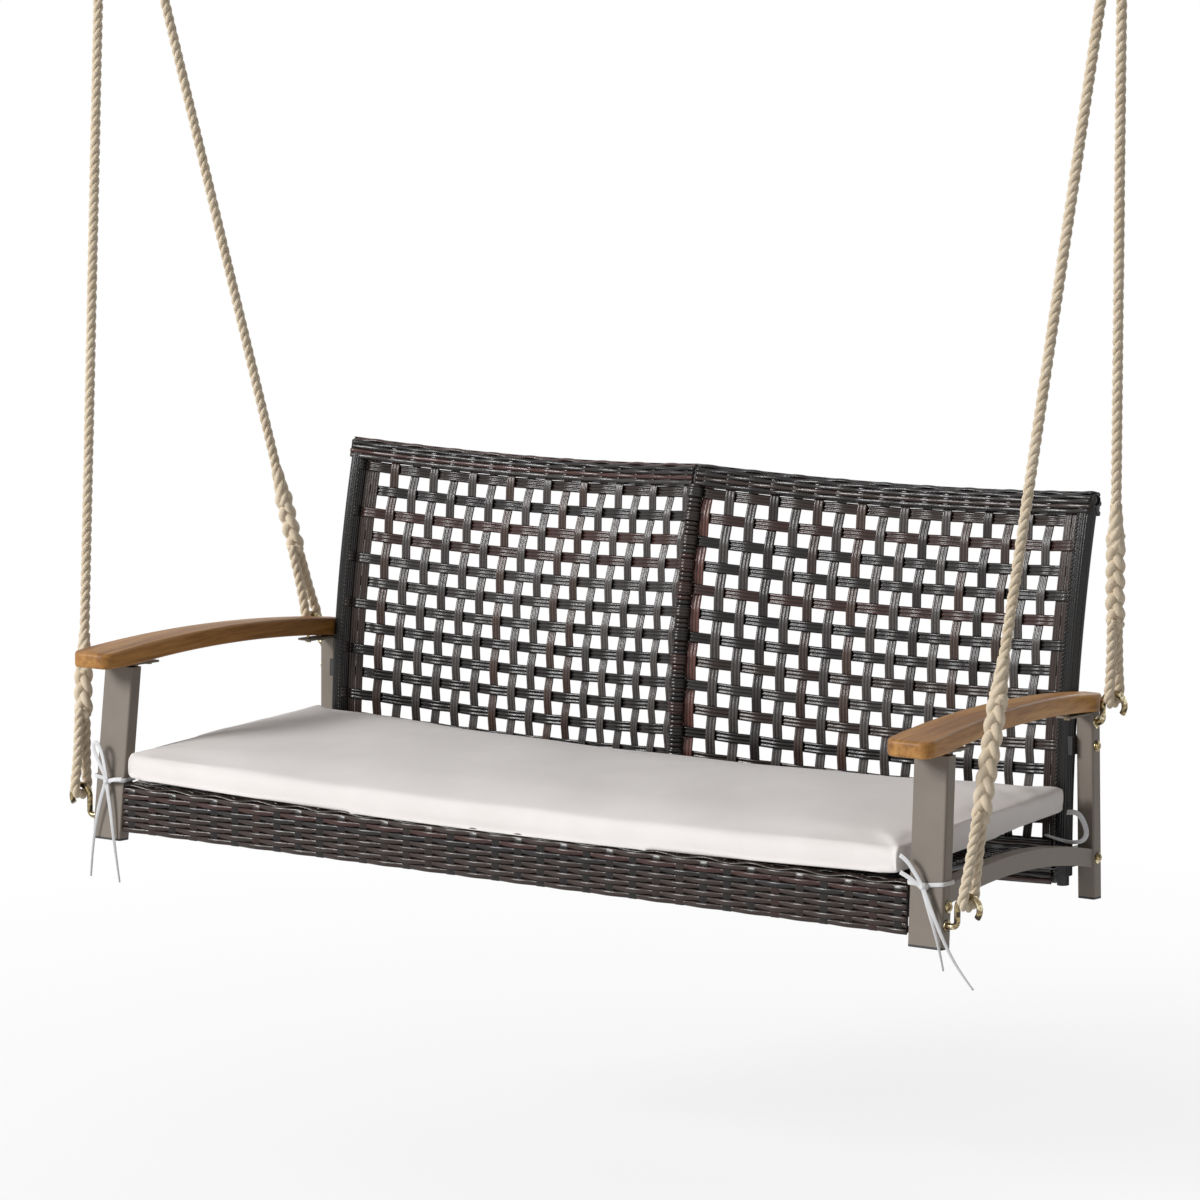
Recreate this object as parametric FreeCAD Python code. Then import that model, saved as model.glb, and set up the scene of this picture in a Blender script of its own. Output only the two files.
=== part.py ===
import FreeCAD
import Part

import math
import os

# Hanging two-seat porch swing: two steel side frames with wooden arms, a woven
# seat and a woven open lattice back between them, a loose cushion, and four
# ropes from hooks on the legs to two ceiling hangers.
# All sizes are in millimetres. The bench is laid out with X to the right, Y to
# the rear and Z up from the leg bottoms, and is moved to the ceiling at the end.

# Side frames
bench_width = 1372.0
leg_corner = 3.0
leg_wall = 1.6
front_leg_wide = 50.0
front_leg_deep = 20.0
front_leg_height = 237.0
front_leg_lean_back = 18.0
front_leg_lean_in = 7.0
rear_leg_wide = 25.0
rear_leg_deep = 20.0
rear_leg_rise = 4.0
rear_leg_height = front_leg_height + rear_leg_rise
rear_leg_lean_forward = 7.0
rear_leg_lean_in = 4.0
rear_leg_inset = 46.0
rear_leg_setback = 441.0
foot_thick = 3.0
foot_plug_deep = 14.0
plug_clear = 0.2
stretcher_wide = 20.0
stretcher_tall = 24.0
stretcher_wall = 1.6
stretcher_end_z = 52.0
stretcher_rise = 23.0
stretcher_front_inset = 30.0
stretcher_rear_inset = 12.5

# Wooden arms and the plates that carry them
arm_thick = 24.0
arm_overhang_front = 62.0
arm_overhang_rear = 2.0
arm_outer_lap = 7.0
arm_outer_lap_rear = 3.0
arm_front_wide = 64.0
arm_rear_wide = 28.0
arm_front_drop = 3.0
arm_rise = 14.0
arm_corner = 17.0
arm_edge_round = 6.0
arm_recess = 1.0
arm_plate_thick = 3.0
arm_plate_wide = 22.0
arm_plate_reach = 52.0
arm_screw_r = 2.0
arm_screw_head_r = 4.2
arm_screw_head_tall = 2.6
arm_screw_bite = 15.0
arm_screw_inset = 9.0
arm_screw_pitch = 28.0

# Seat frame and woven seat
rail_front_y = 7.0
front_rail_deep = 18.0
front_rail_low = 34.0
front_rail_tall = 40.0
rail_wall = 1.6
rail_corner = 6.0
rail_end_block = 14.0
weave_thick = 5.0
apron_low = 13.0
apron_bar_r = 4.0
apron_bar_lift = 2.0
rear_rail_gap = 2.0
rear_rail_deep = 20.0
rear_rail_tall = 20.0
seat_rear_z = 72.0
seat_crown = 11.2
seat_bar_r = 7.0
seat_bar_wall = 1.4
seat_bar_pitch = 296.0
seat_bar_count = 5
seat_side_gap = 1.0

# Back frame and lattice: each half is one arc, hollow towards the sitter
back_half_wide = 610.0
back_foot_y = 432.0
back_lean = 47.0
back_bow = 18.0
back_low = 17.0
back_top = 525.0
back_hollow = 30.0
back_middle_forward = 21.0
back_dip = 11.0
post_r = 8.0
back_wall = 1.2
middle_post_r = 8.0
back_rail_r = 8.0
wrap_thick = 3.0
edge_wrap_thick = 5.0
fit_gap = 0.3
top_band_tall = 19.0
bottom_band_tall = 50.0
strand_wide = 13.0
strand_thick = 2.2
strand_gap = 0.6
column_pitch = 32.8
column_first = 17.5
column_count = 18
row_pitch = 32.0
row_first_drop = 38.0
row_count = 13

# Bolts, washers and hooks
bolt_r = 3.0
bolt_clear = 0.15
bolt_head_r = 5.6
bolt_head_tall = 4.0
bolt_bite = 12.0
washer_r = 7.5
washer_thick = 1.2
front_bolt_z = 52.0
back_bolt_low_z = 54.0
back_bolt_drop = 41.0
back_bolt_high_z = rear_leg_height - back_bolt_drop
tab_tall = 24.0
tab_lap = 9.0
tab_depth_share = 0.8
hook_wire_r = 4.0
hook_arch_r = 16.0
hook_bend_r = 7.0
hook_front_standoff = 15.0
hook_rear_standoff = 9.0
hook_front_z = 29.0
hook_rear_drop = 10.0
hook_rear_z = rear_leg_height - hook_rear_drop
hook_rise = 40.0
hook_tip_turn = 38.0
hook_bite = 20.0
hook_nut_r = 6.0
hook_nut_long = 14.0
hook_flange_r = 8.0
hook_flange_thick = 1.2

# Cushion and its ties
cushion_front_y = 1.0
cushion_rear_y = 399.0
cushion_taper = 12.0
cushion_side_gap = 3.0
cushion_rest_gap = 0.4
cushion_tilt = 0.046
cushion_edge_tall = 40.0
cushion_crown = 11.0
cushion_draw = 4.0
cushion_round = 9.0
cushion_end_share = 0.5
tie_wide = 8.0
tie_thick = 1.4
tie_gap = 0.3
tie_z = 84.0
tie_tails_right = ((30.0, 105.0), (78.0, 122.0))
tie_tails_left = ((-24.0, 132.0), (26.0, 136.0))
tie_lead_rise = 20.0
tie_knot_r = 6.0
tie_loop_wide = 20.0
tie_loop_long = 44.0

# Ropes and ceiling hangers
rope_r = 7.15
rope_clear = 0.5
eye_long = 100.0
splice_r = 13.2
splice_taper = 46.0
braid_front_right = 150.0
braid_rear_right = 112.0
braid_front_left = 112.0
braid_rear_left = 74.0
braid_top = 96.0
hang_half_span = 812.0
hang_y = 175.0
hang_recline = 2.5
hang_z = 1440.0
hang_rope_offset = 8.0
staple_bar_r = 5.0
staple_straight = 16.0
staple_bend_r = 9.0
staple_drop = 30.0
plate_wide = 66.0
plate_long = 92.0
plate_thick = 5.0
plate_corner = 8.0
plate_screw_pitch = 64.0
plate_screw_r = 3.4

half_width = bench_width / 2.0
ceiling_z = hang_z + staple_drop + plate_thick
nodes = {}


def vec(x, y, z):
    return FreeCAD.Vector(x, y, z)


def box(x0, x1, y0, y1, z0, z1):
    return Part.makeBox(x1 - x0, y1 - y0, z1 - z0, vec(x0, y0, z0))


def rod(radius, start, end):
    run = end.sub(start)
    return Part.makeCylinder(radius, run.Length, start, run)


def tube(radius, wall, start, end):
    return rod(radius, start, end).cut(rod(radius - wall, start, end))


def mirrored(shape):
    return shape.mirror(vec(0, 0, 0), vec(1, 0, 0))


def largest(shape):
    return sorted(shape.Solids, key=lambda solid: solid.Volume)[-1]


def fused(shapes):
    whole = shapes[0]
    for shape in shapes[1:]:
        whole = whole.fuse(shape)
    whole = whole.removeSplitter()
    if len(whole.Solids) == 1:
        return whole.Solids[0]
    return whole


def cut_by(shape, cutters):
    for cutter in cutters:
        shape = shape.cut(cutter)
    return shape


def rounded_outline(x0, x1, y0, y1, z, radius):
    corners = (
        (x1 - radius, y0 + radius, -90.0),
        (x1 - radius, y1 - radius, 0.0),
        (x0 + radius, y1 - radius, 90.0),
        (x0 + radius, y0 + radius, 180.0),
    )
    arcs = []
    for cx, cy, start in corners:
        points = []
        for turn in (0.0, 45.0, 90.0):
            angle = math.radians(start + turn)
            points.append(vec(cx + radius * math.cos(angle), cy + radius * math.sin(angle), z))
        arcs.append(points)
    edges = []
    for index, points in enumerate(arcs):
        edges.append(Part.Arc(*points).toShape())
        edges.append(Part.LineSegment(points[2], arcs[(index + 1) % 4][0]).toShape())
    return Part.Wire(edges)


def swept(path_edges, radius, start, direction):
    path = Part.Wire(path_edges)
    profile = Part.Wire([Part.makeCircle(radius, start, direction)])
    return path.makePipeShell([profile], True, False)


def keep(name, shape):
    nodes[name] = shape


def keep_pair(name, shape):
    keep(name + "_right", shape)
    keep(name + "_left", mirrored(shape))


def keep_set(name, shapes):
    keep(name, Part.makeCompound(shapes + [mirrored(shape) for shape in shapes]))


# Legs. Each is a rectangular tube that leans a little; a section at any height
# gives the tube, its bore, its end plug and anything strapped round it.


def front_leg_shift(z):
    share = z / front_leg_height
    return -front_leg_lean_in * share, front_leg_lean_back * share


def rear_leg_shift(z):
    share = z / rear_leg_height
    return -rear_leg_lean_in * share, -rear_leg_lean_forward * share


def front_leg_section(z, grow):
    dx, dy = front_leg_shift(z)
    x0 = half_width - front_leg_wide + dx
    return rounded_outline(x0 - grow, half_width + dx + grow, dy - grow, dy + front_leg_deep + grow,
                           z, leg_corner + max(grow, -leg_corner * 0.8))


def rear_leg_section(z, grow):
    dx, dy = rear_leg_shift(z)
    x1 = half_width - rear_leg_inset + dx
    y0 = rear_leg_setback + dy
    return rounded_outline(x1 - rear_leg_wide - grow, x1 + grow, y0 - grow, y0 + rear_leg_deep + grow,
                           z, leg_corner + max(grow, -leg_corner * 0.8))


def between(section, z0, z1, grow):
    return Part.makeLoft([section(z0, grow), section(z1, grow)], True, True)


def front_leg_x(z):
    return half_width + front_leg_shift(z)[0]


def front_leg_y(z):
    return front_leg_shift(z)[1] + front_leg_deep / 2.0


def rear_leg_x(z):
    return half_width - rear_leg_inset + rear_leg_shift(z)[0]


def rear_leg_y(z):
    return rear_leg_setback + rear_leg_shift(z)[1] + rear_leg_deep / 2.0


front_leg_full = between(front_leg_section, 0.0, front_leg_height, 0.0)
rear_leg_full = between(rear_leg_section, 0.0, rear_leg_height, 0.0)


def front_span(y0, y1, z0, z1):
    corners = []
    for side, z in ((-1.0, z0), (1.0, z0), (1.0, z1), (-1.0, z1)):
        corners.append(vec(side * (front_leg_x(z) - front_leg_wide), y0, z))
    return Part.Face(Part.makePolygon(corners + corners[:1])).extrude(vec(0, y1 - y0, 0))


def leg_tube(section, height):
    outer = between(section, foot_thick, height, 0.0)
    return outer.cut(between(section, foot_thick, height, -leg_wall))


def foot(section):
    flange = between(section, 0.0, foot_thick, 0.0)
    plug = between(section, foot_thick, foot_thick + foot_plug_deep, -leg_wall - plug_clear)
    return fused([flange, plug])


# Side stretchers: an arched rectangular tube that runs from the back of the
# front leg to the front of the rear leg.


def stretcher_line():
    x_front = front_leg_x(stretcher_end_z) - stretcher_front_inset
    x_rear = rear_leg_x(stretcher_end_z) - stretcher_rear_inset
    y_front = front_leg_y(stretcher_end_z)
    y_rear = rear_leg_y(stretcher_end_z)
    return vec(x_front, y_front, stretcher_end_z), vec(x_rear, y_rear, stretcher_end_z)


def arched_bar(inset):
    start, end = stretcher_line()
    run = end.sub(start)
    side = vec(run.y, -run.x, 0.0).normalize()
    lift = vec(0, 0, stretcher_tall / 2.0 - inset)
    middle = start.add(end).multiply(0.5).add(vec(0, 0, stretcher_rise))
    low = Part.Arc(start.sub(lift), middle.sub(lift), end.sub(lift)).toShape()
    high = Part.Arc(end.add(lift), middle.add(lift), start.add(lift)).toShape()
    down = Part.LineSegment(end.sub(lift), end.add(lift)).toShape()
    up = Part.LineSegment(start.add(lift), start.sub(lift)).toShape()
    face = Part.Face(Part.Wire([low, down, high, up]))
    half = stretcher_wide / 2.0 - inset
    face.translate(side * -half)
    return face.extrude(side * (2.0 * half))


stretcher_full = arched_bar(0.0)


def stretcher():
    bar = stretcher_full.cut(arched_bar(stretcher_wall))
    return largest(cut_by(bar, [front_leg_full, rear_leg_full]))


def stretcher_inner_x(y):
    start, end = stretcher_line()
    share = (y - start.y) / (end.y - start.y)
    return start.x + (end.x - start.x) * share - stretcher_wide / 2.0


def between_stretchers(y0, y1, gap):
    x0 = stretcher_inner_x(y0) - gap
    x1 = stretcher_inner_x(y1) - gap
    plan = [vec(-x0, y0, 0), vec(x0, y0, 0), vec(x1, y1, 0), vec(-x1, y1, 0)]
    return Part.Face(Part.makePolygon(plan + plan[:1])).extrude(vec(0, 0, back_top))


# Arms: an arched board, wide in front and narrow behind, with rounded corners.

arm_front_y = front_leg_y(front_leg_height) - arm_overhang_front
arm_rear_y = rear_leg_y(rear_leg_height) + rear_leg_deep / 2.0 + arm_overhang_rear
arm_front_outer = front_leg_x(front_leg_height) + arm_outer_lap
arm_rear_outer = rear_leg_x(rear_leg_height) + arm_outer_lap_rear
arm_seat_front = front_leg_height + arm_plate_thick - arm_recess
arm_seat_rear = rear_leg_height + arm_plate_thick - arm_recess


def arm_side_arc(lift):
    front = vec(0, arm_front_y, arm_seat_front - arm_front_drop + lift)
    rear = vec(0, arm_rear_y, arm_seat_rear + lift)
    middle = front.add(rear).multiply(0.5).add(vec(0, 0, arm_rise))
    return front, middle, rear


def arm_board():
    low = arm_side_arc(0.0)
    high = arm_side_arc(arm_thick)
    edges = [Part.Arc(*low).toShape()]
    edges.append(Part.LineSegment(low[2], high[2]).toShape())
    edges.append(Part.Arc(high[2], high[1], high[0]).toShape())
    edges.append(Part.LineSegment(high[0], low[0]).toShape())
    side = Part.Face(Part.Wire(edges)).extrude(vec(half_width * 1.2, 0, 0))
    z0 = low[0].z - arm_thick
    z1 = high[1].z + arm_thick
    plan = [
        vec(arm_front_outer - arm_front_wide, arm_front_y, z0),
        vec(arm_front_outer, arm_front_y, z0),
        vec(arm_rear_outer, arm_rear_y, z0),
        vec(arm_rear_outer - arm_rear_wide, arm_rear_y, z0),
    ]
    prism = Part.Face(Part.makePolygon(plan + plan[:1])).extrude(vec(0, 0, z1 - z0))
    front_edges = [e for e in prism.Edges if is_upright(e) and e.CenterOfMass.y < arm_front_y + 1.0]
    prism = prism.makeFillet(arm_corner, front_edges)
    board = side.common(prism)
    rim = [e for e in board.Edges if not is_upright(e)]
    return board.makeFillet(arm_edge_round, rim)


def is_upright(edge):
    span = edge.BoundBox
    return span.ZLength > 0.5 * arm_thick and span.XLength + span.YLength < 0.01


def plate_x(leg_outer, leg_wide):
    middle = leg_outer - leg_wide / 2.0
    return middle - arm_plate_wide / 2.0, middle + arm_plate_wide / 2.0


def arm_plate_front():
    x0, x1 = plate_x(front_leg_x(front_leg_height), front_leg_wide)
    y0 = front_leg_y(front_leg_height) - front_leg_deep / 2.0
    z = front_leg_height
    return box(x0, x1, y0, y0 + front_leg_deep + arm_plate_reach, z, z + arm_plate_thick)


def arm_plate_rear():
    x0, x1 = plate_x(rear_leg_x(rear_leg_height), rear_leg_wide)
    y1 = rear_leg_y(rear_leg_height) + rear_leg_deep / 2.0
    z = rear_leg_height
    return box(x0, x1, y1 - rear_leg_deep - arm_plate_reach, y1, z, z + arm_plate_thick)


def arm_screw(x, y, z):
    head = rod(arm_screw_head_r, vec(x, y, z - arm_screw_head_tall), vec(x, y, z))
    tip = z + arm_plate_thick + arm_screw_bite
    shank = rod(arm_screw_r, vec(x, y, z - arm_screw_head_tall), vec(x, y, tip))
    return fused([head, shank])


def arm_screws():
    front_x = front_leg_x(front_leg_height) - front_leg_wide / 2.0
    rear_x = rear_leg_x(rear_leg_height) - rear_leg_wide / 2.0
    front_y = front_leg_y(front_leg_height) + front_leg_deep / 2.0 + arm_plate_reach - arm_screw_inset
    rear_y = rear_leg_y(rear_leg_height) - rear_leg_deep / 2.0 - arm_plate_reach + arm_screw_inset
    screws = []
    for step in (0.0, arm_screw_pitch):
        screws.append(arm_screw(front_x, front_y - step, front_leg_height))
        screws.append(arm_screw(rear_x, rear_y + step, rear_leg_height))
    return screws


# Seat frame: a deep front rail between the front legs, a rear rail between the
# stretchers and bowed bars from front to rear that carry the woven seat.

front_rail_top = front_rail_low + front_rail_tall
front_rail_back = rail_front_y + front_rail_deep
rear_rail_back = back_foot_y - back_bow - back_middle_forward - middle_post_r - wrap_thick - rear_rail_gap
rear_rail_front = rear_rail_back - rear_rail_deep
rear_rail_top = seat_rear_z - weave_thick


def side_outline(y0, y1, z0, z1, x, radius):
    flat = rounded_outline(y0, y1, z0, z1, 0.0, radius)
    flat.rotate(vec(0, 0, 0), vec(1, 1, 1), 120.0)
    flat.translate(vec(x, 0, 0))
    return flat


def cross_tube(y0, y1, z0, z1, reach, inset):
    corner = max(rail_corner - inset, 0.5)
    outline = side_outline(y0 + inset, y1 - inset, z0 + inset, z1 - inset, -reach, corner)
    return Part.Face(outline).extrude(vec(2.0 * reach, 0, 0))


def front_rail_bar(reach, inset):
    return cross_tube(rail_front_y, front_rail_back, front_rail_low, front_rail_top, reach, inset)


def rear_rail_bar(inset):
    low = rear_rail_top - rear_rail_tall
    return cross_tube(rear_rail_front, rear_rail_back, low, rear_rail_top, half_width, inset)


def front_rail(bolts):
    hollow_reach = front_leg_x(front_bolt_z) - front_leg_wide - rail_end_block
    rail = front_rail_bar(half_width, 0.0).cut(front_rail_bar(hollow_reach, rail_wall))
    rail = rail.common(front_span(rail_front_y, front_rail_back, front_rail_low, front_rail_top))
    return cut_by(rail, bolts)


def rear_rail():
    rail = rear_rail_bar(0.0).cut(rear_rail_bar(rail_wall))
    return rail.common(between_stretchers(rear_rail_front, rear_rail_back, 0.0))


def seat_arc(drop):
    front = vec(0, front_rail_back, front_rail_top + weave_thick - drop)
    rear = vec(0, rear_rail_front, seat_rear_z - drop)
    middle = front.add(rear).multiply(0.5).add(vec(0, 0, seat_crown))
    return front, middle, rear


def seat_bar(x):
    front, middle, rear = seat_arc(weave_thick + seat_bar_r + 2.0 * fit_gap)
    edge = Part.Arc(front, middle, rear).toShape()
    ahead = edge.tangentAt(edge.FirstParameter)
    outer = swept([edge], seat_bar_r, front, ahead)
    bore = swept([edge], seat_bar_r - seat_bar_wall, front, ahead)
    bar = outer.cut(bore)
    bar.translate(vec(x, 0, 0))
    return largest(cut_by(bar, [front_rail_bar(half_width, 0.0), rear_rail_bar(0.0)]))


def seat_panel():
    top = seat_arc(0.0)
    low = seat_arc(weave_thick)
    end_top = vec(0, rear_rail_back, top[2].z)
    end_low = vec(0, rear_rail_back, low[2].z)
    edges = [
        Part.Arc(*low).toShape(),
        Part.LineSegment(low[2], end_low).toShape(),
        Part.LineSegment(end_low, end_top).toShape(),
        Part.LineSegment(end_top, top[2]).toShape(),
        Part.Arc(top[2], top[1], top[0]).toShape(),
        Part.LineSegment(top[0], low[0]).toShape(),
    ]
    sheet = Part.Face(Part.Wire(edges)).extrude(vec(2.0 * half_width, 0, 0))
    sheet.translate(vec(-half_width, 0, 0))
    sheet = sheet.common(between_stretchers(front_rail_back, rear_rail_back, seat_side_gap))
    return cut_by(sheet, [front_leg_full, mirrored(front_leg_full)])


def apron():
    y0 = rail_front_y - weave_thick
    z1 = front_rail_top + weave_thick
    outer_r = rail_corner + weave_thick
    y1 = front_rail_back + 2.0 * outer_r
    z0 = apron_low - 2.0 * outer_r
    outer = side_outline(y0, y1, z0, z1, -half_width, outer_r)
    sheet = Part.Face(outer).extrude(vec(bench_width, 0, 0))
    sheet = sheet.common(box(-half_width, half_width, y0, front_rail_back, apron_low, z1))
    core_z1 = front_rail_top + fit_gap
    core = side_outline(rail_front_y - fit_gap, y1, z0, core_z1, -half_width, rail_corner + fit_gap)
    sheet = sheet.cut(Part.Face(core).extrude(vec(bench_width, 0, 0)))
    return sheet.common(front_span(y0, front_rail_back, apron_low, z1))


def apron_bar():
    y = rail_front_y + apron_bar_r
    z = apron_low + apron_bar_lift + apron_bar_r
    bar = rod(apron_bar_r, vec(-half_width, y, z), vec(half_width, y, z))
    return bar.common(front_span(rail_front_y, front_rail_back, apron_low, front_rail_low))


# Back. Two curves make its surface: the plan arc runs from the middle to the
# outer edge of the right half, dipping on the way, and the side arc leans and
# bows from foot to top. Rails and rows are the plan arc moved along the side
# arc; posts and columns are the side arc moved along the plan arc.

arc_middle = vec(0, -back_middle_forward, 0)
arc_outer = vec(back_half_wide, 0, 0)
arc_waist = arc_middle.add(arc_outer).multiply(0.5).add(vec(0, back_hollow, -back_dip))
plan_arc = Part.Arc(arc_middle, arc_waist, arc_outer).toShape()
plan_circle = plan_arc.Curve
arc_start = plan_arc.FirstParameter
arc_long = plan_arc.Length
post_s = arc_long - post_r - edge_wrap_thick

side_foot = vec(0, back_foot_y, back_low)
side_top = vec(0, back_foot_y + back_lean, back_top)
side_waist = side_foot.add(side_top).multiply(0.5).add(vec(0, -back_bow, 0))
side_circle = Part.Arc(side_foot, side_waist, side_top).toShape().Curve


def side_point(z):
    drop = z - side_circle.Center.z
    return vec(0, side_circle.Center.y - math.sqrt(side_circle.Radius ** 2 - drop ** 2), z)


def side_slope(z):
    drop = z - side_circle.Center.z
    return vec(0, drop / math.sqrt(side_circle.Radius ** 2 - drop ** 2), 1.0)


def side_arc(shift, z0, z1):
    points = [side_point(z).add(shift) for z in (z0, (z0 + z1) / 2.0, z1)]
    return Part.Arc(*points).toShape()


def arc_point(s):
    return plan_circle.value(arc_start + s / plan_circle.Radius)


def back_point(s, z):
    foot_point = arc_point(s)
    return foot_point.add(side_point(z - foot_point.z))


def arc_along(s):
    return plan_circle.tangent(arc_start + s / plan_circle.Radius)[0]


def arc_band(outline, s0, s1, z):
    along = arc_along(s0)
    slope = side_slope(z)
    up = slope.sub(along * slope.dot(along)).normalize()
    face = Part.Face(outline(arc_point(s0), up, along.cross(up)))
    turn = math.degrees((s1 - s0) / plan_circle.Radius)
    band = face.revolve(plan_circle.Center, plan_circle.Axis, turn)
    band.translate(side_point(z))
    return band


def ring_outline(radius):
    def outline(point, up, ahead):
        return Part.Wire([Part.makeCircle(radius, point, up.cross(ahead))])
    return outline


def strip_outline(ahead0, ahead1, tall):
    def outline(point, up, ahead):
        corners = []
        for a, u in ((ahead0, -0.5), (ahead1, -0.5), (ahead1, 0.5), (ahead0, 0.5)):
            corners.append(point.add(ahead * a).add(up * (u * tall)))
        return Part.makePolygon(corners + corners[:1])
    return outline


def folded_outline(inner_r, outer_r, tall, way):
    def outline(point, up, ahead):
        def at(a, u):
            return point.add(ahead * a).add(up * (u * way))

        def quarter(radius, start, middle, end):
            points = []
            for angle in (start, middle, end):
                turn = math.radians(angle)
                points.append(at(radius * math.cos(turn), radius * math.sin(turn)))
            return Part.Arc(*points).toShape()

        edges = [quarter(outer_r, 180.0, 135.0, 90.0), quarter(outer_r, 90.0, 45.0, 0.0)]
        edges.append(Part.LineSegment(at(outer_r, 0), at(outer_r, -tall)).toShape())
        edges.append(Part.LineSegment(at(outer_r, -tall), at(inner_r, -tall)).toShape())
        edges.append(Part.LineSegment(at(inner_r, -tall), at(inner_r, 0)).toShape())
        edges.append(quarter(inner_r, 0.0, 45.0, 90.0))
        edges.append(quarter(inner_r, 90.0, 135.0, 180.0))
        edges.append(Part.LineSegment(at(-inner_r, 0), at(-inner_r, -tall)).toShape())
        edges.append(Part.LineSegment(at(-inner_r, -tall), at(-outer_r, -tall)).toShape())
        edges.append(Part.LineSegment(at(-outer_r, -tall), at(-outer_r, 0)).toShape())
        return Part.Wire(edges)
    return outline


right_side = box(0, 2.0 * half_width, -half_width, 2.0 * half_width, -half_width, bench_width)


def half_sweep(outline, s1, z):
    lead = 3.0 * (back_rail_r + wrap_thick)
    return arc_band(outline, -lead, s1, z).common(right_side)


def both_halves(shape):
    return fused([shape, mirrored(shape)])


top_rail_z = back_top - back_rail_r - wrap_thick
bottom_rail_z = back_low + back_rail_r + wrap_thick
band_in_r = back_rail_r + fit_gap
band_out_r = back_rail_r + wrap_thick
top_rail_half = half_sweep(ring_outline(back_rail_r), arc_long, top_rail_z)
top_bore_half = half_sweep(ring_outline(back_rail_r - back_wall), arc_long, top_rail_z)
bottom_rail_half = half_sweep(ring_outline(back_rail_r), post_s, bottom_rail_z)
bottom_bore_half = half_sweep(ring_outline(back_rail_r - back_wall), post_s, bottom_rail_z)
top_seat_half = half_sweep(ring_outline(band_in_r), arc_long, top_rail_z)
bottom_seat_half = half_sweep(ring_outline(band_in_r), post_s, bottom_rail_z)
top_band_half = half_sweep(folded_outline(band_in_r, band_out_r, top_band_tall, 1.0), arc_long, top_rail_z)
bottom_fold = folded_outline(band_in_r, band_out_r, bottom_band_tall, -1.0)
bottom_band_half = half_sweep(bottom_fold, post_s, bottom_rail_z)


def upright_rod(s, radius, extra=0.0):
    edge = side_arc(arc_point(s), back_low - extra, back_top + extra)
    start = edge.valueAt(edge.FirstParameter)
    return swept([edge], radius, start, edge.tangentAt(edge.FirstParameter))


post_rod = upright_rod(post_s, post_r)
post_bore = upright_rod(post_s, post_r - back_wall)
wrap_rod = upright_rod(post_s, post_r + edge_wrap_thick)
wrap_bore = upright_rod(post_s, post_r + fit_gap)
middle_rod = upright_rod(0.0, middle_post_r)
middle_bore = upright_rod(0.0, middle_post_r - back_wall)
middle_wrap_rod = upright_rod(0.0, middle_post_r + wrap_thick)
middle_wrap_bore = upright_rod(0.0, middle_post_r + fit_gap)
back_post_x = arc_point(post_s).x


def top_clearing():
    reach = 2.0 * (post_r + edge_wrap_thick)
    return half_sweep(strip_outline(-reach, reach, 2.0 * top_band_tall), arc_long + reach, top_rail_z)


def lattice_rows():
    layer0 = strand_gap / 2.0
    rows = []
    for row in range(row_count):
        z = back_top - row_first_drop - row * row_pitch
        strip = half_sweep(strip_outline(layer0, layer0 + strand_thick, strand_wide), post_s, z)
        rows.append(largest(cut_by(strip, [wrap_rod, middle_wrap_rod])))
    return Part.makeCompound(rows)


def lattice_column(s):
    along = arc_along(s)
    level = vec(along.x, along.y, 0.0).normalize()
    half = level * (strand_wide / 2.0)
    shift = arc_point(s).sub(half)
    near = side_arc(shift.add(vec(0, strand_gap / 2.0, 0)), bottom_rail_z, top_rail_z)
    far = side_arc(shift.add(vec(0, strand_gap / 2.0 + strand_thick, 0)), bottom_rail_z, top_rail_z)
    near_ends = [near.valueAt(near.FirstParameter), near.valueAt(near.LastParameter)]
    far_ends = [far.valueAt(far.FirstParameter), far.valueAt(far.LastParameter)]
    edges = [near, Part.LineSegment(near_ends[1], far_ends[1]).toShape()]
    edges.append(far)
    edges.append(Part.LineSegment(far_ends[0], near_ends[0]).toShape())
    face = Part.Face(Part.Wire(Part.__sortEdges__(edges)))
    strip = face.extrude(half * 2.0)
    return largest(cut_by(strip, [top_seat_half, bottom_seat_half, middle_wrap_rod]))


def lattice_columns():
    columns = []
    for column in range(column_count):
        s = column_first + column * column_pitch
        if s + strand_wide / 2.0 < post_s - post_r - edge_wrap_thick:
            columns.append(lattice_column(s))
    return Part.makeCompound(columns)


# Bolts through the legs, with washers, and the steel tabs on the back's posts
# that the rear pair is screwed into.


def leg_bolt(outer_x, y, z, end_x):
    face = outer_x + washer_thick
    head = Part.makeSphere(bolt_head_r * 1.25, vec(face + bolt_head_tall - bolt_head_r * 1.25, y, z))
    head = head.common(rod(bolt_head_r, vec(face, y, z), vec(face + 2.0 * bolt_head_tall, y, z)))
    return fused([head, rod(bolt_r, vec(face + bolt_head_tall / 2.0, y, z), vec(end_x, y, z))])


def washer(outer_x, y, z):
    start = vec(outer_x, y, z)
    end = vec(outer_x + washer_thick, y, z)
    return rod(washer_r, start, end).cut(rod(bolt_r + bolt_clear, start, end))


def outer_face(leg_x, z):
    return max(leg_x(z - washer_r), leg_x(z + washer_r))


front_bolt_x = outer_face(front_leg_x, front_bolt_z)
front_bolt_end = front_leg_x(front_bolt_z) - front_leg_wide - bolt_bite
front_bolt_y = rail_front_y + front_rail_deep / 2.0
front_bolt = leg_bolt(front_bolt_x, front_bolt_y, front_bolt_z, front_bolt_end)
front_bolt_hole = rod(bolt_r + bolt_clear, vec(front_bolt_x + washer_r, front_bolt_y, front_bolt_z),
                      vec(front_bolt_end, front_bolt_y, front_bolt_z))


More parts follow.
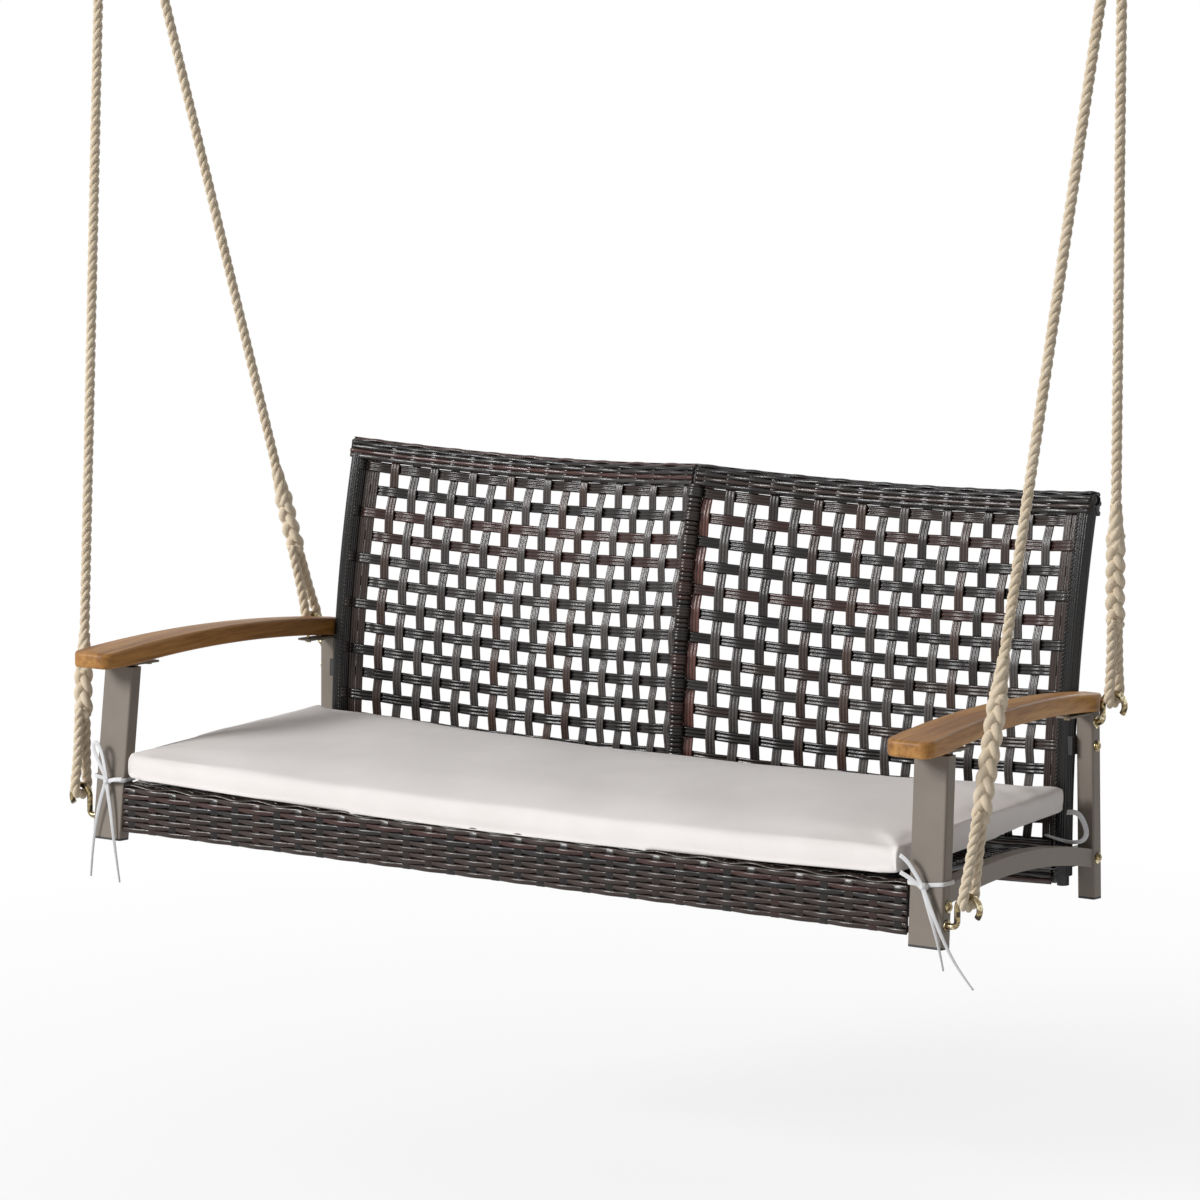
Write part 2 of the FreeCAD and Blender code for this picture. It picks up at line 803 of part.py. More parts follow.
def back_tab(z, x0, y0, y1):
    corners = []
    for low in (z - tab_tall / 2.0, z + tab_tall / 2.0):
        corners.append(vec(x0, y0, low))
        corners.append(vec(rear_leg_x(low) - rear_leg_wide, y0, low))
    outline = [corners[0], corners[1], corners[3], corners[2], corners[0]]
    return Part.Face(Part.makePolygon(outline)).extrude(vec(0, y1 - y0, 0))


back_bolts = []
back_washers = []
back_holes = []
back_tabs = []
tab_clearing = []
for bolt_z in (back_bolt_low_z, back_bolt_high_z):
    bolt_x = outer_face(rear_leg_x, bolt_z)
    bolt_y = rear_leg_y(bolt_z)
    tab_in = back_post_x + post_r * tab_depth_share
    block = back_tab(bolt_z, tab_in, back_point(post_s, bolt_z).y - tab_lap, bolt_y + tab_lap)
    tab = largest(block.cut(post_rod))
    back_bolts.append(leg_bolt(bolt_x, bolt_y, bolt_z, tab_in))
    back_washers.append(washer(bolt_x, bolt_y, bolt_z))
    bolt_ends = (vec(bolt_x + washer_r, bolt_y, bolt_z), vec(tab_in, bolt_y, bolt_z))
    back_holes.append(rod(bolt_r + bolt_clear, *bolt_ends))
    back_tabs.append(tab.cut(rod(bolt_r, *bolt_ends)))
    tab_clearing.append(block)


# Hooks: a wire screwed into a flanged nut set in the leg's outer wall, bent up
# outside it and over into an arch that opens downwards; the rope's eye lies in
# the arch.


def hook(leg_x, y, z, standoff):
    leg_face_x = leg_x(z)
    rise_x = leg_face_x + standoff
    tail = vec(leg_face_x - hook_bite, y, z)
    bend_in = vec(rise_x - hook_bend_r, y, z)
    low = math.sqrt(0.5) * hook_bend_r
    bend_mid = vec(rise_x - hook_bend_r + low, y, z + hook_bend_r - low)
    bend_out = vec(rise_x, y, z + hook_bend_r)
    arch_z = z + hook_rise - hook_arch_r
    arch_in = vec(rise_x, y, arch_z)
    arch_top = vec(rise_x + hook_arch_r, y, arch_z + hook_arch_r)
    arch_out = vec(rise_x + 2.0 * hook_arch_r, y, arch_z)
    turn = math.radians(hook_tip_turn)
    centre = vec(rise_x + hook_arch_r, y, arch_z)
    tip_mid = centre.add(vec(math.cos(turn / 2.0), 0, -math.sin(turn / 2.0)) * hook_arch_r)
    tip = centre.add(vec(math.cos(turn), 0, -math.sin(turn)) * hook_arch_r)
    edges = [
        Part.LineSegment(tail, bend_in).toShape(),
        Part.Arc(bend_in, bend_mid, bend_out).toShape(),
        Part.LineSegment(bend_out, arch_in).toShape(),
        Part.Arc(arch_in, arch_top, arch_out).toShape(),
        Part.Arc(arch_out, tip_mid, tip).toShape(),
    ]
    wire = swept(edges, hook_wire_r, tail, vec(1, 0, 0))
    flange_x = max(leg_x(z - hook_flange_r), leg_x(z + hook_flange_r))
    hole = rod(hook_nut_r, vec(leg_face_x - hook_nut_long, y, z), vec(flange_x + hook_flange_thick, y, z))
    flange = rod(hook_flange_r, vec(flange_x, y, z), vec(flange_x + hook_flange_thick, y, z))
    nut = fused([hole, flange]).cut(rod(hook_wire_r, tail, vec(rise_x, y, z)))
    return wire, hole, nut, arch_top


hook_front = hook(front_leg_x, front_leg_y(hook_front_z), hook_front_z, hook_front_standoff)
hook_rear = hook(rear_leg_x, rear_leg_y(hook_rear_z), hook_rear_z, hook_rear_standoff)


# Ropes: an eye in the hook's arch, a spliced length, one straight run, and a
# second splice and eye over the hanger's bar.

eye_r = rope_r + rope_clear


def eye(pivot, ahead, side, wire_r):
    radius = wire_r + eye_r
    spread = rope_r + rope_clear / 5.0
    far = math.hypot(eye_long, spread)
    lean = math.atan2(spread, eye_long) + math.acos(radius / far)

    def at(a, s):
        return pivot.add(ahead * a).add(side * s)

    left = at(radius * math.cos(lean), -radius * math.sin(lean))
    right = at(radius * math.cos(lean), radius * math.sin(lean))
    edges = [
        Part.LineSegment(at(eye_long, -spread), left).toShape(),
        Part.Arc(left, at(-radius, 0), right).toShape(),
        Part.LineSegment(right, at(eye_long, spread)).toShape(),
    ]
    loop = swept(edges, rope_r, at(eye_long, -spread), left.sub(at(eye_long, -spread)))
    print("eye radius", round(radius, 2), "volume share", round(loop.Volume / rope_volume(edges), 4))
    return loop


def rope_volume(edges):
    return math.pi * rope_r ** 2 * sum(edge.Length for edge in edges)


def splice(pivot, ahead, braid):
    profile = [
        (eye_long - rope_r, 0.0),
        (eye_long - rope_r, 2.0 * rope_r),
        (eye_long + rope_r, splice_r),
        (eye_long + braid, splice_r),
        (eye_long + braid + splice_taper, rope_r),
        (eye_long + braid + splice_taper, 0.0),
    ]
    across = vec(ahead.y, -ahead.x, 0.0)
    if across.Length < 1e-6:
        across = vec(1, 0, 0)
    across.normalize()
    points = [pivot.add(ahead * a).add(across * r) for a, r in profile]
    face = Part.Face(Part.makePolygon(points + points[:1]))
    return face.revolve(pivot, ahead, 360.0)


def rope(low, high, braid_low):
    ahead = high.sub(low).normalize()
    back = low.sub(high).normalize()
    side = vec(0, 1, 0).sub(ahead * ahead.y).normalize()
    start = low.add(ahead * (eye_long + braid_low + splice_taper / 2.0))
    end = high.add(back * (eye_long + braid_top + splice_taper / 2.0))
    pieces = [
        splice(low, ahead, braid_low),
        eye(low, ahead, side, hook_wire_r),
        rod(rope_r, start, end),
        splice(high, back, braid_top),
        eye(high, back, side, staple_bar_r),
    ]
    print("rope run", round(high.sub(low).Length, 1))
    return fused(pieces)


# Ceiling hangers: a screwed plate with a staple whose bar carries both eyes.


def staple():
    legs_x = staple_straight + staple_bend_r
    low = hang_z
    high = hang_z + staple_drop
    inner = math.sqrt(0.5) * staple_bend_r
    x = hang_half_span
    points = [
        vec(x - legs_x, hang_y, high),
        vec(x - legs_x, hang_y, low + staple_bend_r),
        vec(x - staple_straight - inner, hang_y, low + staple_bend_r - inner),
        vec(x - staple_straight, hang_y, low),
        vec(x + staple_straight, hang_y, low),
        vec(x + staple_straight + inner, hang_y, low + staple_bend_r - inner),
        vec(x + legs_x, hang_y, low + staple_bend_r),
        vec(x + legs_x, hang_y, high),
    ]
    edges = [
        Part.LineSegment(points[0], points[1]).toShape(),
        Part.Arc(points[1], points[2], points[3]).toShape(),
        Part.LineSegment(points[3], points[4]).toShape(),
        Part.Arc(points[4], points[5], points[6]).toShape(),
        Part.LineSegment(points[6], points[7]).toShape(),
    ]
    return swept(edges, staple_bar_r, points[0], vec(0, 0, -1))


def hanger_plate():
    z = hang_z + staple_drop
    outline = rounded_outline(hang_half_span - plate_wide / 2.0, hang_half_span + plate_wide / 2.0,
                              hang_y - plate_long / 2.0, hang_y + plate_long / 2.0, z, plate_corner)
    plate = Part.Face(outline).extrude(vec(0, 0, plate_thick))
    for y in (hang_y - plate_screw_pitch / 2.0, hang_y + plate_screw_pitch / 2.0):
        low = vec(hang_half_span, y, z)
        plate = plate.cut(rod(plate_screw_r, low, low.add(vec(0, 0, plate_thick))))
    return plate


# Cushion: a boxed pad, wide in front, with a crown and sides drawn in between
# its corners, tilted back and resting on the crown of the woven seat.

seat_circle = Part.Arc(*seat_arc(0.0)).toShape().Curve
seat_touch = seat_circle.Center.z + seat_circle.Radius * math.sqrt(1.0 + cushion_tilt ** 2)
cushion_front_z = seat_touch - cushion_tilt * seat_circle.Center.y + cushion_rest_gap


def cushion_half(y):
    front_x = front_leg_x(cushion_front_z + 2.0 * cushion_edge_tall) - front_leg_wide - cushion_side_gap
    share = (y - cushion_front_y) / (cushion_rear_y - cushion_front_y)
    return front_x - cushion_taper * share


def cushion_section(share, swell):
    draw = cushion_draw * (1.0 - share * share)
    y0 = cushion_front_y + draw
    y1 = cushion_rear_y - draw
    half_tall = cushion_edge_tall / 2.0
    edge = half_tall * (cushion_end_share + (1.0 - cushion_end_share) * swell)
    round_in = cushion_round * edge / half_tall

    def at(y, up):
        base = cushion_front_z + cushion_tilt * y + half_tall
        return vec(cushion_half(y) * share, y, base + up)

    points = (
        at(y0 + round_in, -edge),
        at(y0, 0.0),
        at(y0 + round_in, edge),
        at((y0 + y1) / 2.0, edge + cushion_crown * (0.2 + 0.8 * swell)),
        at(y1 - round_in, edge),
        at(y1, 0.0),
        at(y1 - round_in, -edge),
    )
    edges = [
        Part.Arc(points[0], points[1], points[2]).toShape(),
        Part.Arc(points[2], points[3], points[4]).toShape(),
        Part.Arc(points[4], points[5], points[6]).toShape(),
        Part.LineSegment(points[6], points[0]).toShape(),
    ]
    return Part.Wire(edges)


def cushion():
    half = ((0.4, 1.0), (0.8, 0.99), (0.95, 0.93), (0.985, 0.75), (1.0, 0.0))
    stations = [(-share, swell) for share, swell in reversed(half)] + list(half)
    sections = [cushion_section(share, swell) for share, swell in stations]
    return Part.makeLoft(sections, True, True)


# Ties: a fabric tape round each front leg with a knot and two tails, and an
# open loop at each rear corner of the cushion.


def tape(x0, x1, y, z0, z1):
    corners = []
    for x, z, way in ((x0, z0, -0.5), (x1, z1, -0.5), (x1, z1, 0.5), (x0, z0, 0.5)):
        run = math.hypot(x1 - x0, z1 - z0)
        corners.append(vec(x - way * tie_wide * (z1 - z0) / run, y, z + way * tie_wide * (x1 - x0) / run))
    return Part.Face(Part.makePolygon(corners + corners[:1])).extrude(vec(0, -tie_thick, 0))


def tie_front(tails):
    z0 = tie_z - tie_wide / 2.0
    z1 = tie_z + tie_wide / 2.0
    outer = between(front_leg_section, z0, z1, tie_gap + tie_thick)
    band = outer.cut(between(front_leg_section, z0, z1, tie_gap))
    x = front_leg_x(tie_z) - front_leg_wide / 2.0
    y = front_leg_y(z0) - front_leg_deep / 2.0 - tie_gap - tie_thick
    tail_y = -tie_gap - tie_thick
    knot = rod(tie_knot_r, vec(x, y + tie_thick / 2.0, z0), vec(x, tail_y - 4.0 * tie_thick, z0))
    corner = cushion_half(cushion_front_y) + tie_gap + tie_wide / 2.0
    lead = tape(corner, x, tail_y, tie_z + tie_lead_rise, z0)
    pieces = [band, knot, lead]
    for index, (dx, dz) in enumerate(tails):
        pieces.append(tape(x, x + dx, tail_y - (2.0 * index + 1.0) * tie_thick, z0, z0 - dz))
    return fused(pieces)


def tie_rear():
    y = cushion_rear_y - cushion_round - tie_wide
    z1 = cushion_front_z + cushion_tilt * y + cushion_edge_tall / 2.0 + tie_loop_wide / 2.0
    x0 = cushion_half(y) + tie_gap
    bands = []
    for inset in (0.0, tie_thick):
        low = z1 - tie_loop_long + inset
        corner = tie_loop_wide / 2.5 - inset
        outline = rounded_outline(x0 + inset, x0 + tie_loop_wide - inset, low, z1 - inset, 0.0, corner)
        outline.rotate(vec(0, 0, 0), vec(1, 0, 0), 90.0)
        outline.translate(vec(0, y, 0))
        bands.append(Part.Face(outline).extrude(vec(0, tie_wide, 0)))
    return bands[0].cut(bands[1])


# All pieces, by name.

hook_holes_front = [hook_front[1], front_bolt_hole]
hook_holes_rear = [hook_rear[1]] + back_holes
screws = arm_screws()
plates = [arm_plate_front(), arm_plate_rear()]
screw_holes = [rod(arm_screw_r, vec(s.CenterOfMass.x, s.CenterOfMass.y, front_leg_height - arm_plate_thick),
                   vec(s.CenterOfMass.x, s.CenterOfMass.y, s.BoundBox.ZMax)) for s in screws]

keep_pair("front_leg", cut_by(leg_tube(front_leg_section, front_leg_height), hook_holes_front))
keep_pair("rear_leg", cut_by(leg_tube(rear_leg_section, rear_leg_height), hook_holes_rear))
keep_set("front_feet", [foot(front_leg_section)])
keep_set("rear_feet", [foot(rear_leg_section)])
keep_pair("side_stretcher", stretcher())
keep_set("arm_plates_front", [cut_by(plates[0], screw_holes)])
keep_set("arm_plates_rear", [cut_by(plates[1], screw_holes)])
keep_pair("armrest", cut_by(arm_board(), plates + screw_holes))
keep_set("arm_screws", screws)

front_bolts = [front_bolt, mirrored(front_bolt)]
keep("seat_front_rail", front_rail(front_bolts))
keep("seat_rear_rail", rear_rail())
bar_span = (seat_bar_count - 1) / 2.0
bar_places = [(i - bar_span) * seat_bar_pitch for i in range(seat_bar_count)]
keep("seat_bars", Part.makeCompound([seat_bar(x) for x in bar_places]))
keep("seat_weave", seat_panel())
keep("front_apron", apron())
keep("apron_bar", apron_bar())

post_solid = cut_by(post_rod.cut(post_bore), [top_seat_half])
keep_pair("back_post", largest(post_solid))
top_rail = both_halves(top_rail_half)
bottom_rail = both_halves(cut_by(bottom_rail_half, [wrap_bore]))
middle_ends = [both_halves(top_seat_half), both_halves(bottom_seat_half)]
keep("back_middle_post", largest(cut_by(middle_rod, [middle_bore] + middle_ends)))
keep("back_top_rail", largest(top_rail.cut(both_halves(top_bore_half))))
keep("back_bottom_rail", largest(bottom_rail.cut(both_halves(bottom_bore_half))))
band_bores = [upright_rod(post_s, post_r + 2.0 * fit_gap), upright_rod(0.0, middle_post_r + 2.0 * fit_gap)]
keep("back_top_band", both_halves(cut_by(top_band_half, band_bores)))
wrap_solid = wrap_rod.cut(wrap_bore)
wrap_solid = cut_by(wrap_solid, [top_clearing(), bottom_rail_half] + tab_clearing)
keep_pair("back_edge_wrap", largest(wrap_solid))
edge_clearing = upright_rod(post_s, post_r + edge_wrap_thick + fit_gap, 2.0 * post_r)
middle_clearing = upright_rod(0.0, middle_post_r + wrap_thick + fit_gap, 2.0 * post_r)
bottom_band = cut_by(bottom_band_half, [edge_clearing, middle_clearing])
keep_pair("back_bottom_band", bottom_band)
middle_wrap = middle_wrap_rod.cut(middle_wrap_bore)
keep("back_middle_wrap", largest(cut_by(middle_wrap, [both_halves(top_clearing()), bottom_rail])))
keep_pair("back_rows", lattice_rows())
keep_pair("back_columns", lattice_columns())

keep("seat_bolts", Part.makeCompound(front_bolts))
keep_set("back_bolts", back_bolts)
keep_set("leg_washers", [washer(front_bolt_x, front_bolt_y, front_bolt_z)] + back_washers)
keep_set("back_tabs", back_tabs)
keep_pair("hook_front", hook_front[0])
keep_pair("hook_rear", hook_rear[0])
keep_set("hook_nuts", [hook_front[2], hook_rear[2]])

keep("cushion", cushion())
keep("tie_front_right", tie_front(tie_tails_right))
keep("tie_front_left", mirrored(tie_front([(-dx, dz) for dx, dz in tie_tails_left])))
keep_pair("tie_rear", tie_rear())

bar_front = vec(hang_half_span + hang_rope_offset, hang_y, hang_z)
bar_rear = vec(hang_half_span - hang_rope_offset, hang_y, hang_z)
keep("rope_front_right", rope(hook_front[3], bar_front, braid_front_right))
keep("rope_rear_right", rope(hook_rear[3], bar_rear, braid_rear_right))
keep("rope_front_left", mirrored(rope(hook_front[3], bar_front, braid_front_left)))
keep("rope_rear_left", mirrored(rope(hook_rear[3], bar_rear, braid_rear_left)))

keep_pair("hanger_plate", hanger_plate())
keep_pair("hanger_staple", staple())

# The bench hangs with its weight under the bars, so it reclines a little about
# them. The origin is on the ceiling, midway between the hangers.
os.makedirs("parts", exist_ok=True)
to_ceiling = vec(0, -hang_y, -ceiling_z)
for name, shape in nodes.items():
    placed = shape.copy()
    if not name.startswith("hanger_"):
        placed.rotate(vec(0, hang_y, hang_z), vec(1, 0, 0), -hang_recline)
    placed.translate(to_ceiling)
    placed.exportStep("parts/" + name + ".step")
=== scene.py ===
import math
import bpy
import numpy as np
from mathutils import Matrix, Vector


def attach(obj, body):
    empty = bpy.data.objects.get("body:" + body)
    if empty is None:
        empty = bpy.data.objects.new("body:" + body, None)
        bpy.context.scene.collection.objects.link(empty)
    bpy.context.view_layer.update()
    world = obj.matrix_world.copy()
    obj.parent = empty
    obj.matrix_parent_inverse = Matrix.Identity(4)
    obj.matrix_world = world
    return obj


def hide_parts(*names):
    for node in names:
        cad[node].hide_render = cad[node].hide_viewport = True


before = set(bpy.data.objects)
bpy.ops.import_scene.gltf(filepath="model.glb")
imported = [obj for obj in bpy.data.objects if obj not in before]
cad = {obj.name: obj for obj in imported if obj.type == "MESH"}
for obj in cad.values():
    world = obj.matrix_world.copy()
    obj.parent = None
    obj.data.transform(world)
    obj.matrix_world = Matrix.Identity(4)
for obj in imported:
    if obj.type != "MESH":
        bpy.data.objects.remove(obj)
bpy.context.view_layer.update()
scene = bpy.context.scene

# The bench is drawn upright in millimetres, with X to its right, Y to its rear and
# Z up from the leg bottoms. It hangs with a small recline about the ceiling bars.
# row() takes such points to the frame, in metres, and bench() takes them back.
HANG = Vector((0.0, 0.175, 1.440))
BAR_DROP, RECLINE = 0.035, math.radians(-2.5)
BENCH = (Matrix.Translation((0, 0, -BAR_DROP)) @ Matrix.Rotation(RECLINE, 4, "X")
         @ Matrix.Translation(-HANG))
TO_ROW, TO_BENCH = np.array(BENCH), np.array(BENCH.inverted())


def row(points):
    points = np.asarray(points, float) / 1000.0
    return points @ TO_ROW[:3, :3].T + TO_ROW[:3, 3]


def bench(points):
    return (np.asarray(points, float) @ TO_BENCH[:3, :3].T + TO_BENCH[:3, 3]) * 1000.0


def unit(v):
    v = np.asarray(v, float)
    return v / np.maximum(np.linalg.norm(v, axis=-1, keepdims=True), 1e-12)


def eased(x, low, high):
    t = np.clip((x - low) / (high - low), 0.0, 1.0)
    return t * t * (3.0 - 2.0 * t)


# Camera: at the photograph's angle, with the bench's own recline.
CAMERA_AIM, CAMERA_FAR, CAMERA_LENS = Vector((0.16570, 0.0, 0.39192)), 6.94397, 164.14
azimuth, elevation, roll = math.radians(35.76), math.radians(6.54), math.radians(0.65)
away = Vector((math.sin(azimuth) * math.cos(elevation), -math.cos(azimuth) * math.cos(elevation),
               math.sin(elevation)))
right = Vector((math.cos(azimuth), math.sin(azimuth), 0.0))
up = away.cross(right)
turned_right = right * math.cos(roll) + up * math.sin(roll)
turned_up = up * math.cos(roll) - right * math.sin(roll)
stand = Matrix((turned_right, turned_up, away)).transposed().to_4x4()
stand.translation = CAMERA_AIM + away * CAMERA_FAR
lens = bpy.data.cameras.new("camera")
lens.lens = CAMERA_LENS
lens.sensor_width = 36.0
lens.sensor_fit = "AUTO"
lens.clip_end = 100.0
camera = bpy.data.objects.new("camera", lens)
camera.matrix_world = BENCH @ stand
scene.collection.objects.link(camera)
scene.camera = camera


# Materials

def material(name, colour, roughness, metallic=0.0):
    m = bpy.data.materials.new(name)
    m.use_nodes = True
    shader = m.node_tree.nodes["Principled BSDF"]
    shader.inputs["Base Color"].default_value = (*colour, 1.0)
    shader.inputs["Roughness"].default_value = roughness
    shader.inputs["Metallic"].default_value = metallic
    return m, m.node_tree, shader


def node(tree, kind, inputs=None, **settings):
    made = tree.nodes.new(kind)
    for key, value in settings.items():
        setattr(made, key, value)
    for key, value in (inputs or {}).items():
        if isinstance(value, bpy.types.NodeSocket):
            tree.links.new(value, made.inputs[key])
        else:
            made.inputs[key].default_value = value
    return made


def coords(tree, kind, scale):
    source = node(tree, "ShaderNodeTexCoord")
    made = node(tree, "ShaderNodeMapping", {"Vector": source.outputs[kind], "Scale": scale})
    return made.outputs["Vector"]


def noise(tree, vector, scale, detail=3.0, rough=0.5):
    made = node(tree, "ShaderNodeTexNoise", {"Vector": vector, "Scale": scale, "Detail": detail,
                                             "Roughness": rough})
    return made.outputs["Fac"]


def bands(tree, vector, scale, distortion, direction):
    inputs = {"Vector": vector, "Scale": scale, "Distortion": distortion, "Detail": 2.0}
    made = node(tree, "ShaderNodeTexWave", inputs, wave_type="BANDS", bands_direction=direction)
    return made.outputs["Fac"]


def ramp(tree, factor, stops):
    made = node(tree, "ShaderNodeValToRGB", {"Fac": factor})
    keys = made.color_ramp.elements
    while len(keys) < len(stops):
        keys.new(0.5)
    for key, (place, colour) in zip(keys, stops):
        key.position = place
        key.color = (*colour, 1.0)
    return made.outputs["Color"]


def span(tree, factor, low, high):
    made = node(tree, "ShaderNodeMapRange", {"Value": factor, "To Min": low, "To Max": high})
    return made.outputs["Result"]


def times(tree, a, b, share=1.0):
    made = node(tree, "ShaderNodeMix", {0: share, 6: a, 7: b}, data_type="RGBA",
                blend_type="MULTIPLY")
    return made.outputs[2]


def bump(tree, shader, height, strength, distance):
    made = node(tree, "ShaderNodeBump", {"Height": height, "Strength": strength,
                                         "Distance": distance})
    tree.links.new(made.outputs["Normal"], shader.inputs["Normal"])


def wire(tree, value, shader, socket):
    tree.links.new(value, shader.inputs[socket])


def paint(name, dark, light, roughness):
    m, tree, shader = material(name, light, roughness)
    where = coords(tree, "Object", (1, 1, 1))
    cloud = noise(tree, where, 14.0, 4.0)
    wire(tree, ramp(tree, cloud, [(0.3, dark), (0.7, light)]), shader, "Base Color")
    wire(tree, span(tree, cloud, roughness - 0.06, roughness + 0.08), shader, "Roughness")
    bump(tree, shader, noise(tree, where, 900.0, 2.0), 0.12, 0.0004)
    return m


def wood(name):
    m, tree, shader = material(name, (0.34, 0.17, 0.06), 0.42)
    where = coords(tree, "Object", (1.0, 0.055, 1.0))
    fibre = noise(tree, where, 170.0, 5.0, 0.65)
    broad = noise(tree, where, 34.0, 3.0, 0.6)
    warp = noise(tree, where, 9.0, 3.0)
    base = ramp(tree, broad, [(0.28, (0.20, 0.085, 0.022)), (0.5, (0.42, 0.20, 0.050)),
                              (0.74, (0.58, 0.315, 0.095))])
    lines = ramp(tree, fibre, [(0.36, (0.62, 0.55, 0.46)), (0.56, (1.0, 1.0, 1.0))])
    tone = ramp(tree, warp, [(0.3, (0.84, 0.81, 0.78)), (0.7, (1.0, 1.0, 1.0))])
    wire(tree, times(tree, times(tree, base, lines, 0.85), tone), shader, "Base Color")
    wire(tree, span(tree, fibre, 0.52, 0.40), shader, "Roughness")
    shader.inputs["Specular IOR Level"].default_value = 0.3
    bump(tree, shader, fibre, 0.22, 0.0006)
    return m


def wicker(name):
    m, tree, shader = material(name, (0.02, 0.015, 0.013), 0.3)
    tint = node(tree, "ShaderNodeAttribute", attribute_name="tint").outputs["Color"]
    streak = noise(tree, coords(tree, "UV", (16.0, 9.0, 1.0)), 1.0, 4.0, 0.6)
    fleck = noise(tree, coords(tree, "UV", (26.0, 60.0, 1.0)), 1.0, 3.0)
    tone = ramp(tree, streak, [(0.28, (0.45, 0.42, 0.40)), (0.60, (0.88, 0.86, 0.84)),
                               (0.85, (1.0, 1.0, 1.0))])
    wire(tree, times(tree, tint, tone), shader, "Base Color")
    wire(tree, span(tree, fleck, 0.16, 0.28), shader, "Roughness")
    shader.inputs["Specular IOR Level"].default_value = 0.34
    bump(tree, shader, streak, 0.30, 0.0005)
    return m


def rope_fibre(name):
    m, tree, shader = material(name, (0.70, 0.57, 0.40), 0.85)
    yarn = bands(tree, coords(tree, "UV", (4.0, 55.0, 1.0)), 1.0, 2.2, "DIAGONAL")
    hair = noise(tree, coords(tree, "UV", (40.0, 260.0, 1.0)), 1.0, 4.0, 0.7)
    cloud = noise(tree, coords(tree, "Object", (1, 1, 1)), 24.0, 3.0)
    base = ramp(tree, cloud, [(0.3, (0.82, 0.685, 0.505)), (0.7, (0.92, 0.80, 0.625))])
    shade = ramp(tree, hair, [(0.32, (0.84, 0.80, 0.74)), (0.55, (1.0, 1.0, 1.0))])
    # Painted shade: the clefts between the yarns are darkened along the diagonal bands.
    cleft_shade = ramp(tree, yarn, [(0.0, (0.86, 0.83, 0.78)), (0.35, (1.0, 1.0, 1.0))])
    wire(tree, times(tree, times(tree, base, shade), cleft_shade), shader, "Base Color")
    shader.inputs["Sheen Weight"].default_value = 0.15
    bump(tree, shader, yarn, 0.5, 0.0010)
    return m


def cloth(name, low, high, weave, depth):
    m, tree, shader = material(name, high, 0.9)
    where = coords(tree, "Object", (1, 1, 1))
    cloud = noise(tree, where, 11.0, 3.0)
    thread = noise(tree, where, weave, 3.0, 0.7)
    wire(tree, ramp(tree, cloud, [(0.35, low), (0.65, high)]), shader, "Base Color")
    wire(tree, span(tree, thread, 0.82, 0.95), shader, "Roughness")
    shader.inputs["Sheen Weight"].default_value = 0.08
    bump(tree, shader, thread, depth, 0.0005)
    return m


def plated(name):
    m, tree, shader = material(name, (0.45, 0.36, 0.18), 0.24, 1.0)
    where = coords(tree, "Object", (1, 1, 1))
    # The plating's own yellow tint varies a little; the dark and bright patches the noise gives are
    # painted reflections.
    tint_and_reflection = noise(tree, where, 95.0, 2.0)
    stops = [(0.38, (0.06, 0.05, 0.035)), (0.47, (0.42, 0.33, 0.17)), (0.54, (0.15, 0.11, 0.07)),
             (0.62, (0.74, 0.66, 0.44))]
    wire(tree, ramp(tree, tint_and_reflection, stops), shader, "Base Color")
    scratch = noise(tree, where, 700.0, 2.0)
    wire(tree, span(tree, scratch, 0.16, 0.34), shader, "Roughness")
    bump(tree, shader, scratch, 0.08, 0.0003)
    return m


TAUPE = paint("taupe_paint", (0.160, 0.133, 0.108), (0.194, 0.162, 0.132), 0.5)
BLACK_STEEL = paint("black_paint", (0.012, 0.011, 0.011), (0.022, 0.020, 0.019), 0.5)
FOOT = paint("black_plastic", (0.012, 0.012, 0.012), (0.024, 0.023, 0.022), 0.55)
HANGER = paint("hanger_paint", (0.030, 0.030, 0.032), (0.055, 0.055, 0.058), 0.42)
WOOD = wood("oiled_wood")
WICKER = wicker("woven_strand")
ROPE = rope_fibre("laid_rope")
CLOTH = cloth("cushion_canvas", (0.765, 0.725, 0.705), (0.805, 0.765, 0.745), 1400.0, 0.16)
TAPE = cloth("tie_tape", (0.62, 0.62, 0.63), (0.74, 0.74, 0.75), 900.0, 0.08)
ZINC = plated("yellow_zinc")


# Meshes: every strand is a run of sections, gathered into one piece per part.
UV_PER_METRE = 30.0


